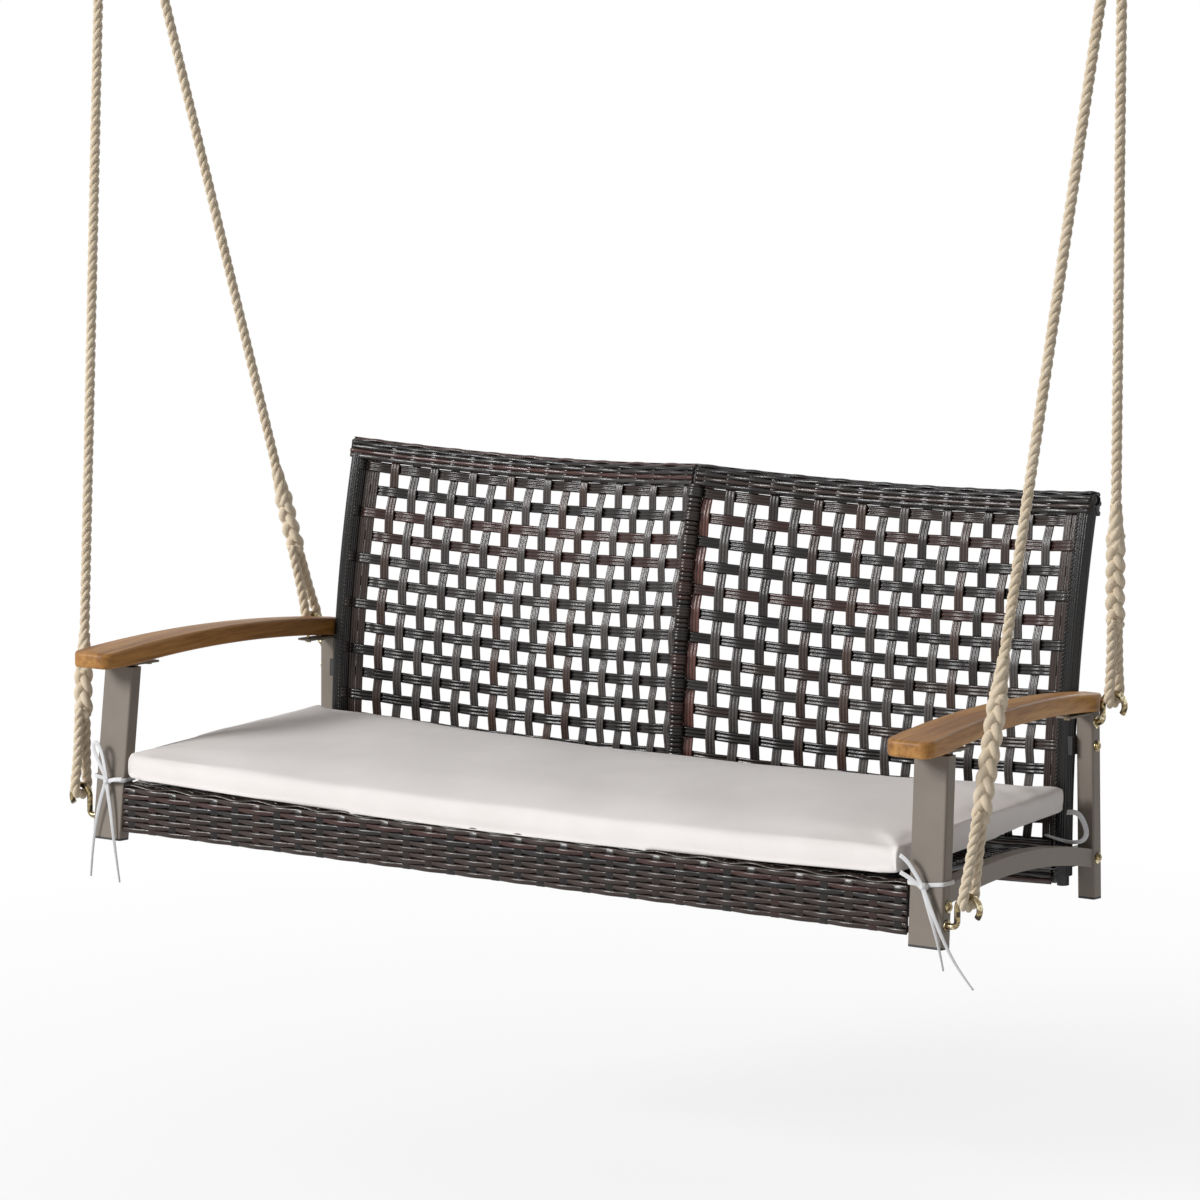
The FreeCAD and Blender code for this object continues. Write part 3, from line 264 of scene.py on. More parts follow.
class Skin:
    def __init__(self):
        self.points, self.loops, self.sizes, self.uvs, self.tints = [], [], [], [], []
        self.count = 0

    def sweep(self, rings, along, tint, mirror=False):
        rings = np.array(rings, float)
        n, m = rings.shape[:2]
        if mirror:
            rings[:, :, 0] *= -1.0
        index = np.arange(n * m).reshape(n, m) + self.count
        after = np.roll(index, -1, axis=1)
        corners = [index[:-1], after[:-1], after[1:], index[1:]]
        u = np.arange(m + 1) / m
        v = np.asarray(along, float) / 1000.0 * UV_PER_METRE
        us = [np.broadcast_to(x, (n - 1, m)) for x in (u[:m], u[1:], u[1:], u[:m])]
        vs = [np.broadcast_to(x[:, None], (n - 1, m)) for x in (v[:-1], v[:-1], v[1:], v[1:])]
        if mirror:
            corners, us, vs = corners[::-1], us[::-1], vs[::-1]
        self.loops.append(np.stack(corners, -1).reshape(-1))
        self.uvs.append(np.stack([np.stack(us, -1), np.stack(vs, -1)], -1).reshape(-1, 2))
        self.sizes.append(np.full((n - 1) * m, 4))
        for cap, high in ((index[0][::-1], v[0]), (index[-1], v[-1])):
            self.loops.append(cap[::-1] if mirror else cap)
            self.uvs.append(np.column_stack([np.full(m, 0.5), np.full(m, high)]))
            self.sizes.append(np.array([m]))
        self.points.append(rings.reshape(-1, 3))
        self.tints.append(np.broadcast_to(np.asarray(tint, float), (n, m, 3)).reshape(-1, 3))
        self.count += n * m

    def piece(self, name, look):
        co = row(np.concatenate(self.points))
        loops = np.concatenate(self.loops)
        sizes = np.concatenate(self.sizes)
        mesh = bpy.data.meshes.new(name)
        mesh.vertices.add(len(co))
        mesh.vertices.foreach_set("co", co.astype(np.float32).ravel())
        mesh.loops.add(len(loops))
        mesh.loops.foreach_set("vertex_index", loops.astype(np.int32))
        mesh.polygons.add(len(sizes))
        starts = np.concatenate([[0], np.cumsum(sizes)[:-1]])
        mesh.polygons.foreach_set("loop_start", starts.astype(np.int32))
        mesh.polygons.foreach_set("use_smooth", np.ones(len(sizes), bool))
        mesh.update(calc_edges=True)
        mesh.validate()
        layer = mesh.uv_layers.new(name="UVMap")
        layer.data.foreach_set("uv", np.concatenate(self.uvs).astype(np.float32).ravel())
        rgba = np.column_stack([np.concatenate(self.tints), np.ones(len(co))])
        tint = mesh.color_attributes.new("tint", "FLOAT_COLOR", "POINT")
        tint.data.foreach_set("color", rgba.astype(np.float32).ravel())
        mesh.materials.append(look)
        made = bpy.data.objects.new(name, mesh)
        scene.collection.objects.link(made)
        return made


def finish_piece(made, slot, *replaced):
    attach(made, "swing")
    if replaced:
        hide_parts(*replaced)
    return made


def run_of(line):
    return np.concatenate([[0.0], np.cumsum(np.linalg.norm(np.diff(line, axis=0), axis=1))])


# Sections, as (share of half the width, share of half the thickness, painted shade)
RIBBED = [
    (1.0, 0.0, 0.5), (0.86, 0.8, 1.0), (0.68, 1.0, 1.3), (0.50, 0.8, 1.0), (0.34, -0.1, 0.25),
    (0.18, 0.8, 1.0), (0.0, 1.0, 1.3), (-0.18, 0.8, 1.0), (-0.34, -0.1, 0.25), (-0.50, 0.8, 1.0),
    (-0.68, 1.0, 1.3), (-0.86, 0.8, 1.0), (-1.0, 0.0, 0.5), (-0.68, -1.0, 1.2), (-0.34, -0.3, 0.3),
    (0.0, -1.0, 1.2), (0.34, -0.3, 0.3), (0.68, -1.0, 1.2),
]
ROUND = [
    (1.0, -0.5, 0.3), (0.92, 0.1, 0.6), (0.70, 0.65, 1.0), (0.38, 0.93, 1.2), (0.0, 1.0, 1.3),
    (-0.38, 0.93, 1.2), (-0.70, 0.65, 1.0), (-0.92, 0.1, 0.6), (-1.0, -0.5, 0.3), (-0.6, -1.0, 0.5),
    (0.6, -1.0, 0.5),
]
FLAT = [
    (1.0, -0.6, 1.0), (1.0, 0.6, 1.0), (0.85, 1.0, 1.0), (-0.85, 1.0, 1.0), (-1.0, 0.6, 1.0),
    (-1.0, -0.6, 1.0), (-0.85, -1.0, 1.0), (0.85, -1.0, 1.0),
]


def ribbon(skin, centre, across, out, wide, thick, tint, mirror=False, section=RIBBED):
    centre, across, out = (np.asarray(a, float) for a in (centre, across, out))
    facing = np.sum(np.cross(across, out) * np.gradient(centre, axis=0), axis=1).mean()
    shape = np.array(section if facing > 0 else section[::-1])
    half = np.broadcast_to(np.asarray(wide, float) / 2.0, (len(centre),))
    rings = centre[:, None] + across[:, None] * (half[:, None] * shape[:, 0])[:, :, None]
    rings = rings + out[:, None] * (shape[:, 1] * thick / 2.0)[None, :, None]
    # The section's third value scales the tint: painted shade in the grooves and at the edges, painted
    # highlight on the ridges and crowns.
    skin.sweep(rings, run_of(centre), shape[:, 2:] * np.asarray(tint, float), mirror)


def tube(skin, centre, first, second, radius, tint, sides=10, mirror=False):
    turn = np.arange(sides) * 2.0 * math.pi / sides
    radius = np.broadcast_to(np.asarray(radius, float), (len(centre),))
    ring = first[:, None] * np.cos(turn)[None, :, None] + second[:, None] * np.sin(turn)[None, :, None]
    skin.sweep(centre[:, None] + ring * radius[:, None, None], run_of(centre), tint, mirror)


# Strand colours, and the shares of dark, brown, red and grey that the dice deal out
dice = np.random.default_rng(7)
DARK, BROWN = (0.014, 0.0115, 0.011), (0.030, 0.019, 0.0155)
RED, GREY = (0.050, 0.021, 0.017), (0.032, 0.029, 0.028)
# COLUMN_SHEEN_MIX deals mostly grey, for the columns' painted sheen.
ROW_MIX, COLUMN_SHEEN_MIX = (0.34, 0.36, 0.14, 0.16), (0.10, 0.36, 0.02, 0.52)
WEAVE_MIX, STAKE_MIX = (0.32, 0.38, 0.18, 0.12), (0.60, 0.30, 0.10, 0.0)


def strand_tint(shares=ROW_MIX):
    pick = (DARK, BROWN, RED, GREY)[dice.choice(4, p=shares)]
    return np.array(pick) * dice.uniform(0.8, 1.25)


# Ropes: the route of each is one smooth line from the hook's eye to the ceiling
# bar's eye. Strands, plaited splices and the eyes' second legs follow that line.
EYE, TAPER, LAP = 100.0, 46.0, 12.0
ROPE_SPREAD, ROPE_STRAND, ROPE_LAY = 3.45, 3.75, 40.0
PLAIT_REACH, PLAIT_DEPTH, PLAIT_STRAND, PLAIT_LAY = 6.6, 4.2, 6.3, 66.0
SPLICE_FACE = np.array((0.94, 0.34, 0.0))

# Eyes, as (distance from the hook or the bar along the rope, distance beside the rope)
EYE_LOW = [
    (104.0, -7.2), (62.0, -7.3), (20.0, -9.6), (2.0, -12.8), (-13.2, -11.6), (-13.2, 11.6), (2.0, 12.8),
    (20.0, 9.6), (62.0, 7.3), (86.0, 7.0), (106.0, 0.0), (150.0, 0.0), (236.0, 0.0),
]
EYE_HIGH = [
    (236.0, 0.0), (150.0, 0.0), (106.0, 0.0), (86.0, 7.0), (62.0, 7.3), (20.0, 10.2), (2.0, 13.6),
    (-14.2, 12.6), (-14.2, -12.6), (2.0, -13.6), (20.0, -10.2), (62.0, -7.3), (104.0, -7.2),
]


def smooth_line(name, points, resolution):
    data = bpy.data.curves.new(name, "CURVE")
    data.dimensions = "3D"
    data.resolution_u = resolution
    spline = data.splines.new("NURBS")
    spline.points.add(len(points) - 1)
    for place, p in zip(spline.points, points):
        place.co = (*p, 1.0)
    spline.order_u = 3
    spline.use_endpoint_u = True
    holder = bpy.data.objects.new(name, data)
    mesh = bpy.data.meshes.new_from_object(holder)
    line = np.array([v.co[:] for v in mesh.vertices])
    bpy.data.meshes.remove(mesh)
    bpy.data.objects.remove(holder)
    bpy.data.curves.remove(data)
    return line


def thinned(line, least):
    kept = [0]
    for i in range(1, len(line)):
        if np.linalg.norm(line[i] - line[kept[-1]]) >= least:
            kept.append(i)
    return line[kept]


def carried_frames(line):
    run = unit(np.gradient(line, axis=0))
    first = np.zeros_like(line)
    first[0] = unit(np.cross(run[0], (0.0, 1.0, 0.0)))
    for i in range(1, len(line)):
        first[i] = unit(first[i - 1] - run[i] * np.dot(first[i - 1], run[i]))
    return first, np.cross(run, first)


def strand(skin, centre, outward, thick):
    run = unit(np.gradient(centre, axis=0))
    beside = unit(np.cross(run, outward))
    tube(skin, centre, np.cross(beside, run), beside, thick, (1, 1, 1))


def laid(skin, line, first, second, distance, spread, thick, lay, count=3):
    for number in range(count):
        turn = distance / lay * 2.0 * math.pi + number * 2.0 * math.pi / count
        outward = first * np.cos(turn)[:, None] + second * np.sin(turn)[:, None]
        strand(skin, line + outward * np.reshape(spread, (-1, 1)), outward, thick)


def plait(skin, line, wide, deep, distance):
    for number in range(3):
        turn = distance / PLAIT_LAY * 2.0 * math.pi + number * 2.0 * math.pi / 3.0
        across, depth = PLAIT_REACH * np.sin(turn), PLAIT_DEPTH * np.sin(2.0 * turn)
        strand(skin, line + wide * across[:, None] + deep * depth[:, None], deep, PLAIT_STRAND)


def splice(skin, line, height, length, distance):
    run = unit(np.gradient(line, axis=0))
    wide = unit(SPLICE_FACE - run * (run @ SPLICE_FACE)[:, None])
    deep = np.cross(run, wide)
    body = (height > EYE - 8.0) & (height < EYE + length + 4.0)
    plait(skin, line[body], wide[body], deep[body], distance[body])
    cone = (height > EYE + length - LAP) & (height < EYE + length + TAPER)
    share = np.clip((height[cone] - EYE - length + LAP) / (TAPER + LAP), 0.0, 1.0)
    line, wide, deep = line[cone], wide[cone], deep[cone]
    laid(skin, line, wide, deep, distance[cone], 7.4 - 3.4 * share, 4.7 - 0.9 * share, 70.0, 4)
    tube(skin, line, wide, deep, 9.8 - 3.6 * share, (1, 1, 1), 12)


def make_rope(name, low, high, braid, braid_top, mirror):
    turned = (-1.0, 1.0, 1.0) if mirror else (1.0, 1.0, 1.0)
    low, high = np.array(low) * turned, np.array(high) * turned
    ahead = unit(high - low)
    side = unit(np.array((0.0, 1.0, 0.0)) - ahead * ahead[1])
    route = [low + ahead * along + side * beside for along, beside in EYE_LOW]
    route += [high - ahead * along + side * beside for along, beside in EYE_HIGH]
    line = thinned(smooth_line(name + "_route", route, 300), 2.2)
    first, second = carried_frames(line)
    distance = run_of(line)
    height, fall = (line - low) @ ahead, (high - line) @ ahead
    foot, top = int(np.argmin(height)), int(np.argmax(height))
    main = slice(foot, top + 1)
    parts = {"lay": main, "eye_low": slice(0, foot + 1), "eye_top": slice(top, len(line))}
    for label, part in parts.items():
        skin = Skin()
        laid(skin, line[part], first[part], second[part], distance[part],
             ROPE_SPREAD, ROPE_STRAND, ROPE_LAY)
        finish_piece(skin.piece(name + "_" + label, ROPE), "rope")
    splices = Skin()
    splice(splices, line[main], height[main], braid, distance[main])
    splice(splices, line[main][::-1], fall[main][::-1], braid_top, distance[main][::-1])
    finish_piece(splices.piece(name + "_splices", ROPE), "rope")
    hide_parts(name)


FRONT_HOOK, REAR_HOOK = (716.1, 12.2, 69.0), (661.2, 444.3, 271.0)
FRONT_BAR, REAR_BAR = (820.0, 175.0, 1440.0), (804.0, 175.0, 1440.0)
make_rope("rope_front_right", FRONT_HOOK, FRONT_BAR, 150.0, 96.0, False)
make_rope("rope_rear_right", REAR_HOOK, REAR_BAR, 112.0, 96.0, False)
make_rope("rope_front_left", FRONT_HOOK, FRONT_BAR, 62.0, 96.0, True)
make_rope("rope_rear_left", REAR_HOOK, REAR_BAR, 74.0, 96.0, True)


# Back: the same two arcs as the solid back. S runs across one half, W runs up.

def circle_through(p0, p1, p2):
    p0, p1, p2 = (np.array(p, float) for p in (p0, p1, p2))
    a, b = p1 - p0, p2 - p0
    axis = np.cross(a, b)
    pull = np.dot(a, a) * np.cross(b, axis) - np.dot(b, b) * np.cross(a, axis)
    centre = p0 + pull / (2.0 * np.dot(axis, axis))
    return centre, np.linalg.norm(p0 - centre), unit(axis), unit(p0 - centre)


PLAN_C, PLAN_R, PLAN_AXIS, PLAN_X = circle_through((0, -21, 0), (305, 19.5, -11), (610, 0, 0))
PLAN_Y = np.cross(PLAN_AXIS, PLAN_X)
PLAN_END = np.array((610.0, 0.0, 0.0)) - PLAN_C
ARC_LONG = PLAN_R * math.atan2(np.dot(PLAN_END, PLAN_Y), np.dot(PLAN_END, PLAN_X))
POST_S = ARC_LONG - 13.0
SIDE_C, SIDE_R = circle_through((0, 432, 17), (0, 437.5, 271), (0, 479, 525))[:2]


def back_at(s, w):
    s, w = np.broadcast_arrays(np.asarray(s, float), np.asarray(w, float))
    turn = s / PLAN_R
    plan = PLAN_C + PLAN_R * (np.cos(turn)[..., None] * PLAN_X + np.sin(turn)[..., None] * PLAN_Y)
    along = -np.sin(turn)[..., None] * PLAN_X + np.cos(turn)[..., None] * PLAN_Y
    drop = w - SIDE_C[2]
    depth = np.sqrt(SIDE_R ** 2 - drop ** 2)
    rise = np.stack([np.zeros_like(w), SIDE_C[1] - depth, w], -1)
    climb = unit(np.stack([np.zeros_like(w), drop / depth, np.ones_like(w)], -1))
    return plan + rise, along, climb, unit(np.cross(along, climb))


# The columns start at FIRST and are PITCH apart. The rows are ROW_PITCH apart, down
# from TOP_ROW. Two flat strips run beside each outer post.
PITCH, FIRST, ROW_PITCH, TOP_ROW = 32.8, 17.5, 32.0, 487.0
COLUMN_COUNT, ROW_COUNT = 17, 13
COLUMNS = [FIRST + PITCH * j for j in range(COLUMN_COUNT)]
ROWS = [TOP_ROW - ROW_PITCH * k for k in range(ROW_COUNT)]
STRAND, STRAND_THICK, STRAND_LIFT = 14.4, 2.3, 1.8
STRIP, STRIP_WIDE, STRIP_LIFT = (POST_S - 29.0, POST_S - 17.0), 11.9, 0.5


def ends_in_front(k, mirror):
    return (COLUMN_COUNT + k + int(mirror)) % 2 == 0


def lattice(mirror, name):
    shift = int(mirror)
    rows, columns = Skin(), Skin()
    for k, w in enumerate(ROWS):
        s = np.linspace(3.0, POST_S - 12.0, 190)
        spot, along, climb, out = back_at(s, w)
        lift = STRAND_LIFT * np.cos(math.pi * ((s - FIRST) / PITCH + k + shift))
        edge = 2.6 if ends_in_front(k, mirror) else -1.6
        lift = lift + (edge - lift) * eased(s, 548.0, 568.0)
        lift = lift * eased(s, 0.0, FIRST) * (1.0 - eased(s, POST_S - 20.0, POST_S - 12.5))
        ribbon(rows, spot + out * lift[:, None], unit(np.cross(out, along)), out,
               STRAND, STRAND_THICK, strand_tint(), mirror)
    w = np.linspace(30.0, 512.0, 140)
    for j, s in enumerate(COLUMNS):
        spot, along, climb, out = back_at(s, w)
        lift = -STRAND_LIFT * np.cos(math.pi * (j + (TOP_ROW - w) / ROW_PITCH + shift))
        # Painted sheen: the columns are dealt mostly grey and made 2.5 times lighter than the rows.
        ribbon(columns, spot + out * lift[:, None], unit(np.cross(climb, out)), out,
               STRAND, STRAND_THICK, strand_tint(COLUMN_SHEEN_MIX) * 2.5, mirror)
    for s in STRIP:
        spot, along, climb, out = back_at(s, w)
        ribbon(columns, spot + out * STRIP_LIFT, unit(np.cross(climb, out)), out,
               STRIP_WIDE, STRAND_THICK, np.array(BROWN) * 1.6, mirror)
    finish_piece(rows.piece("lattice_rows_" + name, WICKER), "wicker", "back_rows_" + name)
    finish_piece(columns.piece("lattice_columns_" + name, WICKER), "wicker", "back_columns_" + name)


def fanned(first, second, degrees):
    bend = np.radians(degrees)
    return first * np.cos(bend)[:, None] + second * np.sin(bend)[:, None]


def beside_post(s, w):
    spot, along, climb, out = back_at(s, w)
    across = unit(np.cross(climb, out))
    return spot, climb, out, across * np.sign(np.sum(across * along, axis=-1, keepdims=True))


def edge_wrap(mirror, name):
    skin = Skin()
    w = np.linspace(30.0, 505.0, 120)
    spot, climb, out, beside = beside_post(POST_S, w)
    degrees = np.arange(0.0, 360.0, 3.0)
    if np.dot(np.cross(out[0], beside[0]), climb[0]) < 0:
        degrees = degrees[::-1]
    turn = np.radians(degrees)
    rib = np.cos(turn * 24.0)
    ring = out[:, None] * np.cos(turn)[None, :, None] + beside[:, None] * np.sin(turn)[None, :, None]
    rings = spot[:, None] + ring * (11.8 + 0.45 * rib)[None, :, None]
    # Painted shade: the wrap is darkened outside the quarter that faces the front and the lattice,
    # darker in the grooves between its ribs and lighter on the ribs.
    shade = np.where((degrees > 245.0) & (degrees < 335.0), 1.0, 0.42) * (0.75 + 0.45 * rib)
    skin.sweep(rings, w, shade[:, None] * np.array(GREY), mirror)
    for level in np.arange(36.0, 498.0, 5.2):
        spot, climb, out, beside = beside_post(POST_S, level)
        facing = fanned(out, beside, np.linspace(-34.0, -12.0, 5))
        path = spot + facing * 12.5 + climb * np.linspace(-1.2, 1.2, 5)[:, None]
        ribbon(skin, path, np.broadcast_to(climb, path.shape), facing, 3.2, 2.4, np.array(GREY),
               mirror, ROUND)
    for k, level in enumerate(ROWS):
        if ends_in_front(k, mirror):
            spot, climb, out, beside = beside_post(POST_S, level)
            facing = fanned(out, beside, np.linspace(-98.0, -30.0, 12))
            path = spot + facing * 12.7
            ribbon(skin, path, np.broadcast_to(climb, path.shape), facing, STRAND, 2.0,
                   strand_tint(), mirror)
    finish_piece(skin.piece("edge_wrap_" + name, WICKER), "wicker", "back_edge_wrap_" + name)


def middle_wrap():
    skin = Skin()
    part = np.linspace(-1.0, 1.0, 6)
    for level in np.arange(36.0, 500.0, 6.2):
        spot, along, climb, out = back_at(0.0, level + 3.1 * part)
        ahead = np.broadcast_to((0.0, -1.0, 0.0), climb.shape)
        ahead = unit(ahead - climb * np.sum(ahead * climb, axis=1)[:, None])
        bulge = 9.6 + 1.5 * np.sqrt(1.0 - (part * 0.98) ** 2)
        # Painted shade and highlight: each ring is darker at its upper and lower edges, where it meets
        # the next, and lighter across its crown.
        shade = 0.35 + 0.95 * np.sqrt(1.0 - part ** 2)
        tube(skin, spot, ahead, np.cross(climb, ahead), bulge, shade[:, None, None] * strand_tint(), 28)
    for level in ROWS:
        spot, along, climb, out = back_at(0.0, level)
        ahead = unit(np.array((0.0, -1.0, 0.0)) - climb * -climb[1])
        facing = fanned(ahead, np.cross(climb, ahead), np.linspace(-82.0, 82.0, 20))
        ribbon(skin, spot + facing * 12.2, np.broadcast_to(climb, facing.shape), facing, 13.4, 1.8,
               strand_tint())
    finish_piece(skin.piece("middle_wrap", WICKER), "wicker", "back_middle_wrap")


# Close weave: rows of narrow strands over and under flat stakes, on any surface.
TOP_RAIL, LOW_RAIL = 514.0, 28.0


def woven_row(skin, surface, s, level, first_stake, pitch, turn, wide, rise, mirror):
    spot, along, climb, out = surface(s, np.full_like(s, level))
    lift = rise * np.cos(math.pi * ((s - first_stake) / pitch + turn))
    ribbon(skin, spot + out * lift[:, None], unit(np.cross(out, along)), out, wide, 3.0,
           strand_tint(WEAVE_MIX) * 1.2, mirror, ROUND)


def stake(skin, surface, s, levels, wide, mirror):
    spot, along, climb, out = surface(np.full_like(levels, s), levels)
    ribbon(skin, spot - out * 0.9, unit(np.cross(climb, out)), out, wide, 1.2,
           strand_tint(STAKE_MIX), mirror, FLAT)


def close_weave(skin, surface, s0, s1, stakes, pitch, levels, wide, rise, stake_wide,
                mirror=False, shift=0):
    s = np.linspace(s0, s1, int((s1 - s0) / pitch * 9.0))
    for number, level in enumerate(levels):
        woven_row(skin, surface, s, level, stakes[0], pitch, number + shift, wide, rise, mirror)
    reach = np.linspace(min(levels) - wide / 2.0, max(levels) + wide / 2.0, 14)
    for at in stakes:
        stake(skin, surface, at, reach, stake_wide, mirror)


def upright(along, climb):
    return unit(climb - along * np.sum(climb * along, axis=-1, keepdims=True))


def fold_surface(rail_w, reach, face):
    def surface(s, u):
        spot, along, climb, out = back_at(s, np.full_like(u, rail_w))
        level = upright(along, climb)
        front = unit(np.cross(along, level)) * face
        bend = np.clip(u / reach, 0.0, math.pi / 2.0)[..., None]
        straight = np.minimum(u, 0.0)[..., None]
        place = spot + front * reach * np.cos(bend) + level * (reach * np.sin(bend) + straight)
        return (place, along, unit(level * np.cos(bend) - front * np.sin(bend)),
                unit(front * np.cos(bend) + level * np.sin(bend)))
    return surface


def fold_core(skin, rail_w, reach, tall, s1, mirror):
    s = np.linspace(0.0, s1, 60)
    spot, along, climb, out = back_at(s, rail_w)
    level = upright(along, climb)
    front = unit(np.cross(along, level))
    turns = np.radians(np.arange(15.0, 180.0, 15.0))
    shape = [(reach, -tall), (reach, 0.0)]
    shape += [(reach * math.cos(a), reach * math.sin(a)) for a in turns]
    shape += [(-reach, 0.0), (-reach, -tall), (1.2 - reach, -tall), (0.0, -tall * 0.5),
              (reach - 1.2, -tall)]
    shape = np.array(shape)
    rings = spot[:, None] + front[:, None] * shape[None, :, :1] + level[:, None] * shape[None, :, 1:]
    rings = rings if np.dot(np.cross(front[0], level[0]), along[0]) > 0 else rings[:, ::-1]
    # Painted shade: the core is drawn dark so the gaps between the band's strands read as shade.
    skin.sweep(rings, s, np.array(DARK), mirror)


def top_band():
    skin = Skin()
    levels = [-15.6, -9.2, -2.8, 3.6, 10.0]
    for mirror in (False, True):
        fold_core(skin, TOP_RAIL, 9.2, 18.0, ARC_LONG - 1.0, mirror)
        for face in (1.0, -1.0):
            close_weave(skin, fold_surface(TOP_RAIL, 10.2, face), 0.0, ARC_LONG - 2.0, COLUMNS, PITCH,
                        levels, 6.5, 1.3, 10.0, mirror, int(mirror))
        s = np.linspace(0.0, ARC_LONG - 0.6, 80)
        spot, along, climb, out = back_at(s, TOP_RAIL)
        level = upright(along, climb)
        ribbon(skin, spot + level * 10.4, unit(np.cross(along, level)), level, 9.0, 1.6,
               np.array(BROWN), mirror)
    finish_piece(skin.piece("top_band", WICKER), "wicker", "back_top_band")


def bottom_band(mirror, name):
    skin = Skin()

    def face_surface(face):
        def surface(s, u):
            spot, along, climb, out = back_at(s, LOW_RAIL + u)
            return spot + out * (face * 10.0), along, climb, out * face
        return surface

    levels = [-5.0 + 6.7 * r for r in range(8)]
    s = np.linspace(11.5, POST_S - 12.5, 60)
    for face in (1.0, -1.0):
        close_weave(skin, face_surface(face), 11.5, POST_S - 12.0, COLUMNS, PITCH, levels, 6.6, 1.0,
                    11.0, mirror)
        # Painted shade: dark sheets inside both faces darken the gaps between the strands.
        spot, along, climb, out = back_at(s, 47.0)
        ribbon(skin, spot + out * (face * 8.6), climb, out, 58.0, 0.8, np.array(DARK), mirror, FLAT)
    # Painted shade: a dark tube round the rail fills the band's core between the strands.
    spot, along, climb, out = back_at(s, LOW_RAIL)
    tube(skin, spot, out, np.cross(along, out), 9.6, np.array(DARK), 16, mirror)
    finish_piece(skin.piece("bottom_band_" + name, WICKER), "wicker", "back_bottom_band_" + name)


# Seat and apron: the apron stands upright and turns over the seat's front rail.
APRON_Y, APRON_TURN, APRON_R = 4.0, 71.0, 6.0


def apron_surface(x, u):
    x, u = np.broadcast_arrays(np.asarray(x, float), np.asarray(u, float))
    bend = np.clip((u - APRON_TURN) / APRON_R, 0.0, math.pi / 2.0)
    back = np.clip(u - APRON_TURN - APRON_R * math.pi / 2.0, 0.0, None)
    y = APRON_Y + APRON_R * (1.0 - np.cos(bend)) + back
    z = np.minimum(u, APRON_TURN) + APRON_R * np.sin(bend)
    spot = np.stack([x, y, z], -1)
    along = np.broadcast_to((1.0, 0.0, 0.0), spot.shape)
    climb = np.stack([np.zeros_like(bend), np.sin(bend), np.cos(bend)], -1)
    return spot, along, climb, np.cross(along, climb)


SEAT_C, SEAT_R = circle_through((0, 25, 76.5), (0, 192.5, 84.2), (0, 360, 69.5))[:2]
STAKE_PITCH = 36.4


def seat_surface(x, y):
    x, y = np.broadcast_arrays(np.asarray(x, float), np.asarray(y, float))
    reach = y - SEAT_C[1]
    depth = np.sqrt(SEAT_R ** 2 - reach ** 2)
    spot = np.stack([x, y, SEAT_C[2] + depth], -1)
    along = np.broadcast_to((1.0, 0.0, 0.0), spot.shape)
    climb = unit(np.stack([np.zeros_like(y), np.ones_like(y), -reach / depth], -1))
    return spot, along, climb, np.cross(along, climb)


def apron():
    skin = Skin()
    half = 633.0
    stakes = [STAKE_PITCH * j for j in range(-17, 18)]
    levels = [16.8 + 7.7 * r for r in range(11)]
    close_weave(skin, apron_surface, -half, half, stakes, STAKE_PITCH, levels, 7.6, 2.1, 13.0)
    # Painted shade: a very dark sheet behind the strands darkens the gaps between them.
    spot, along, climb, out = apron_surface(np.linspace(-half, half, 40), 43.0)
    ribbon(skin, spot - out * 2.2, climb, out, 56.0, 0.8, np.array(DARK) * 0.7, False, FLAT)
    finish_piece(skin.piece("apron_weave", WICKER), "wicker", "front_apron")


def seat():
    skin = Skin()
    for number, y in enumerate(np.arange(29.5, 356.0, 7.9)):
        half = 620.0 - 12.0 * y / 360.0
        s = np.linspace(-half, half, 140)
        woven_row(skin, seat_surface, s, y, 0.0, STAKE_PITCH, number, 7.5, 0.9, False)
    for j in range(-16, 17):
        stake(skin, seat_surface, STAKE_PITCH * j, np.linspace(26.0, 358.0, 24), 13.0, False)
    finish_piece(skin.piece("seat_strands", WICKER), "wicker", "seat_weave")


for flip, hand in ((False, "right"), (True, "left")):
    lattice(flip, hand)
    edge_wrap(flip, hand)
    bottom_band(flip, hand)
middle_wrap()
top_band()
apron()
seat()


# Arms: boards that follow the solid arms' arc, with a longer front end whose underside
# rises a little.
ARM_FRONT, ARM_REAR, ARM_THICK, ARM_RISE = -42.0, 455.0, 25.0, 4.0
ARM_EDGE, ARM_CORNER, ARM_REAR_ROUND = 4.5, 17.0, 3.0
ARM_C, ARM_R = circle_through((0, -34, 236), (0, 211, 253.5), (0, 456, 243))[:2]


def quarter(gap, radius):
    inside = radius - np.clip(gap, 0.0, radius)
    return radius - np.sqrt(radius ** 2 - inside ** 2)


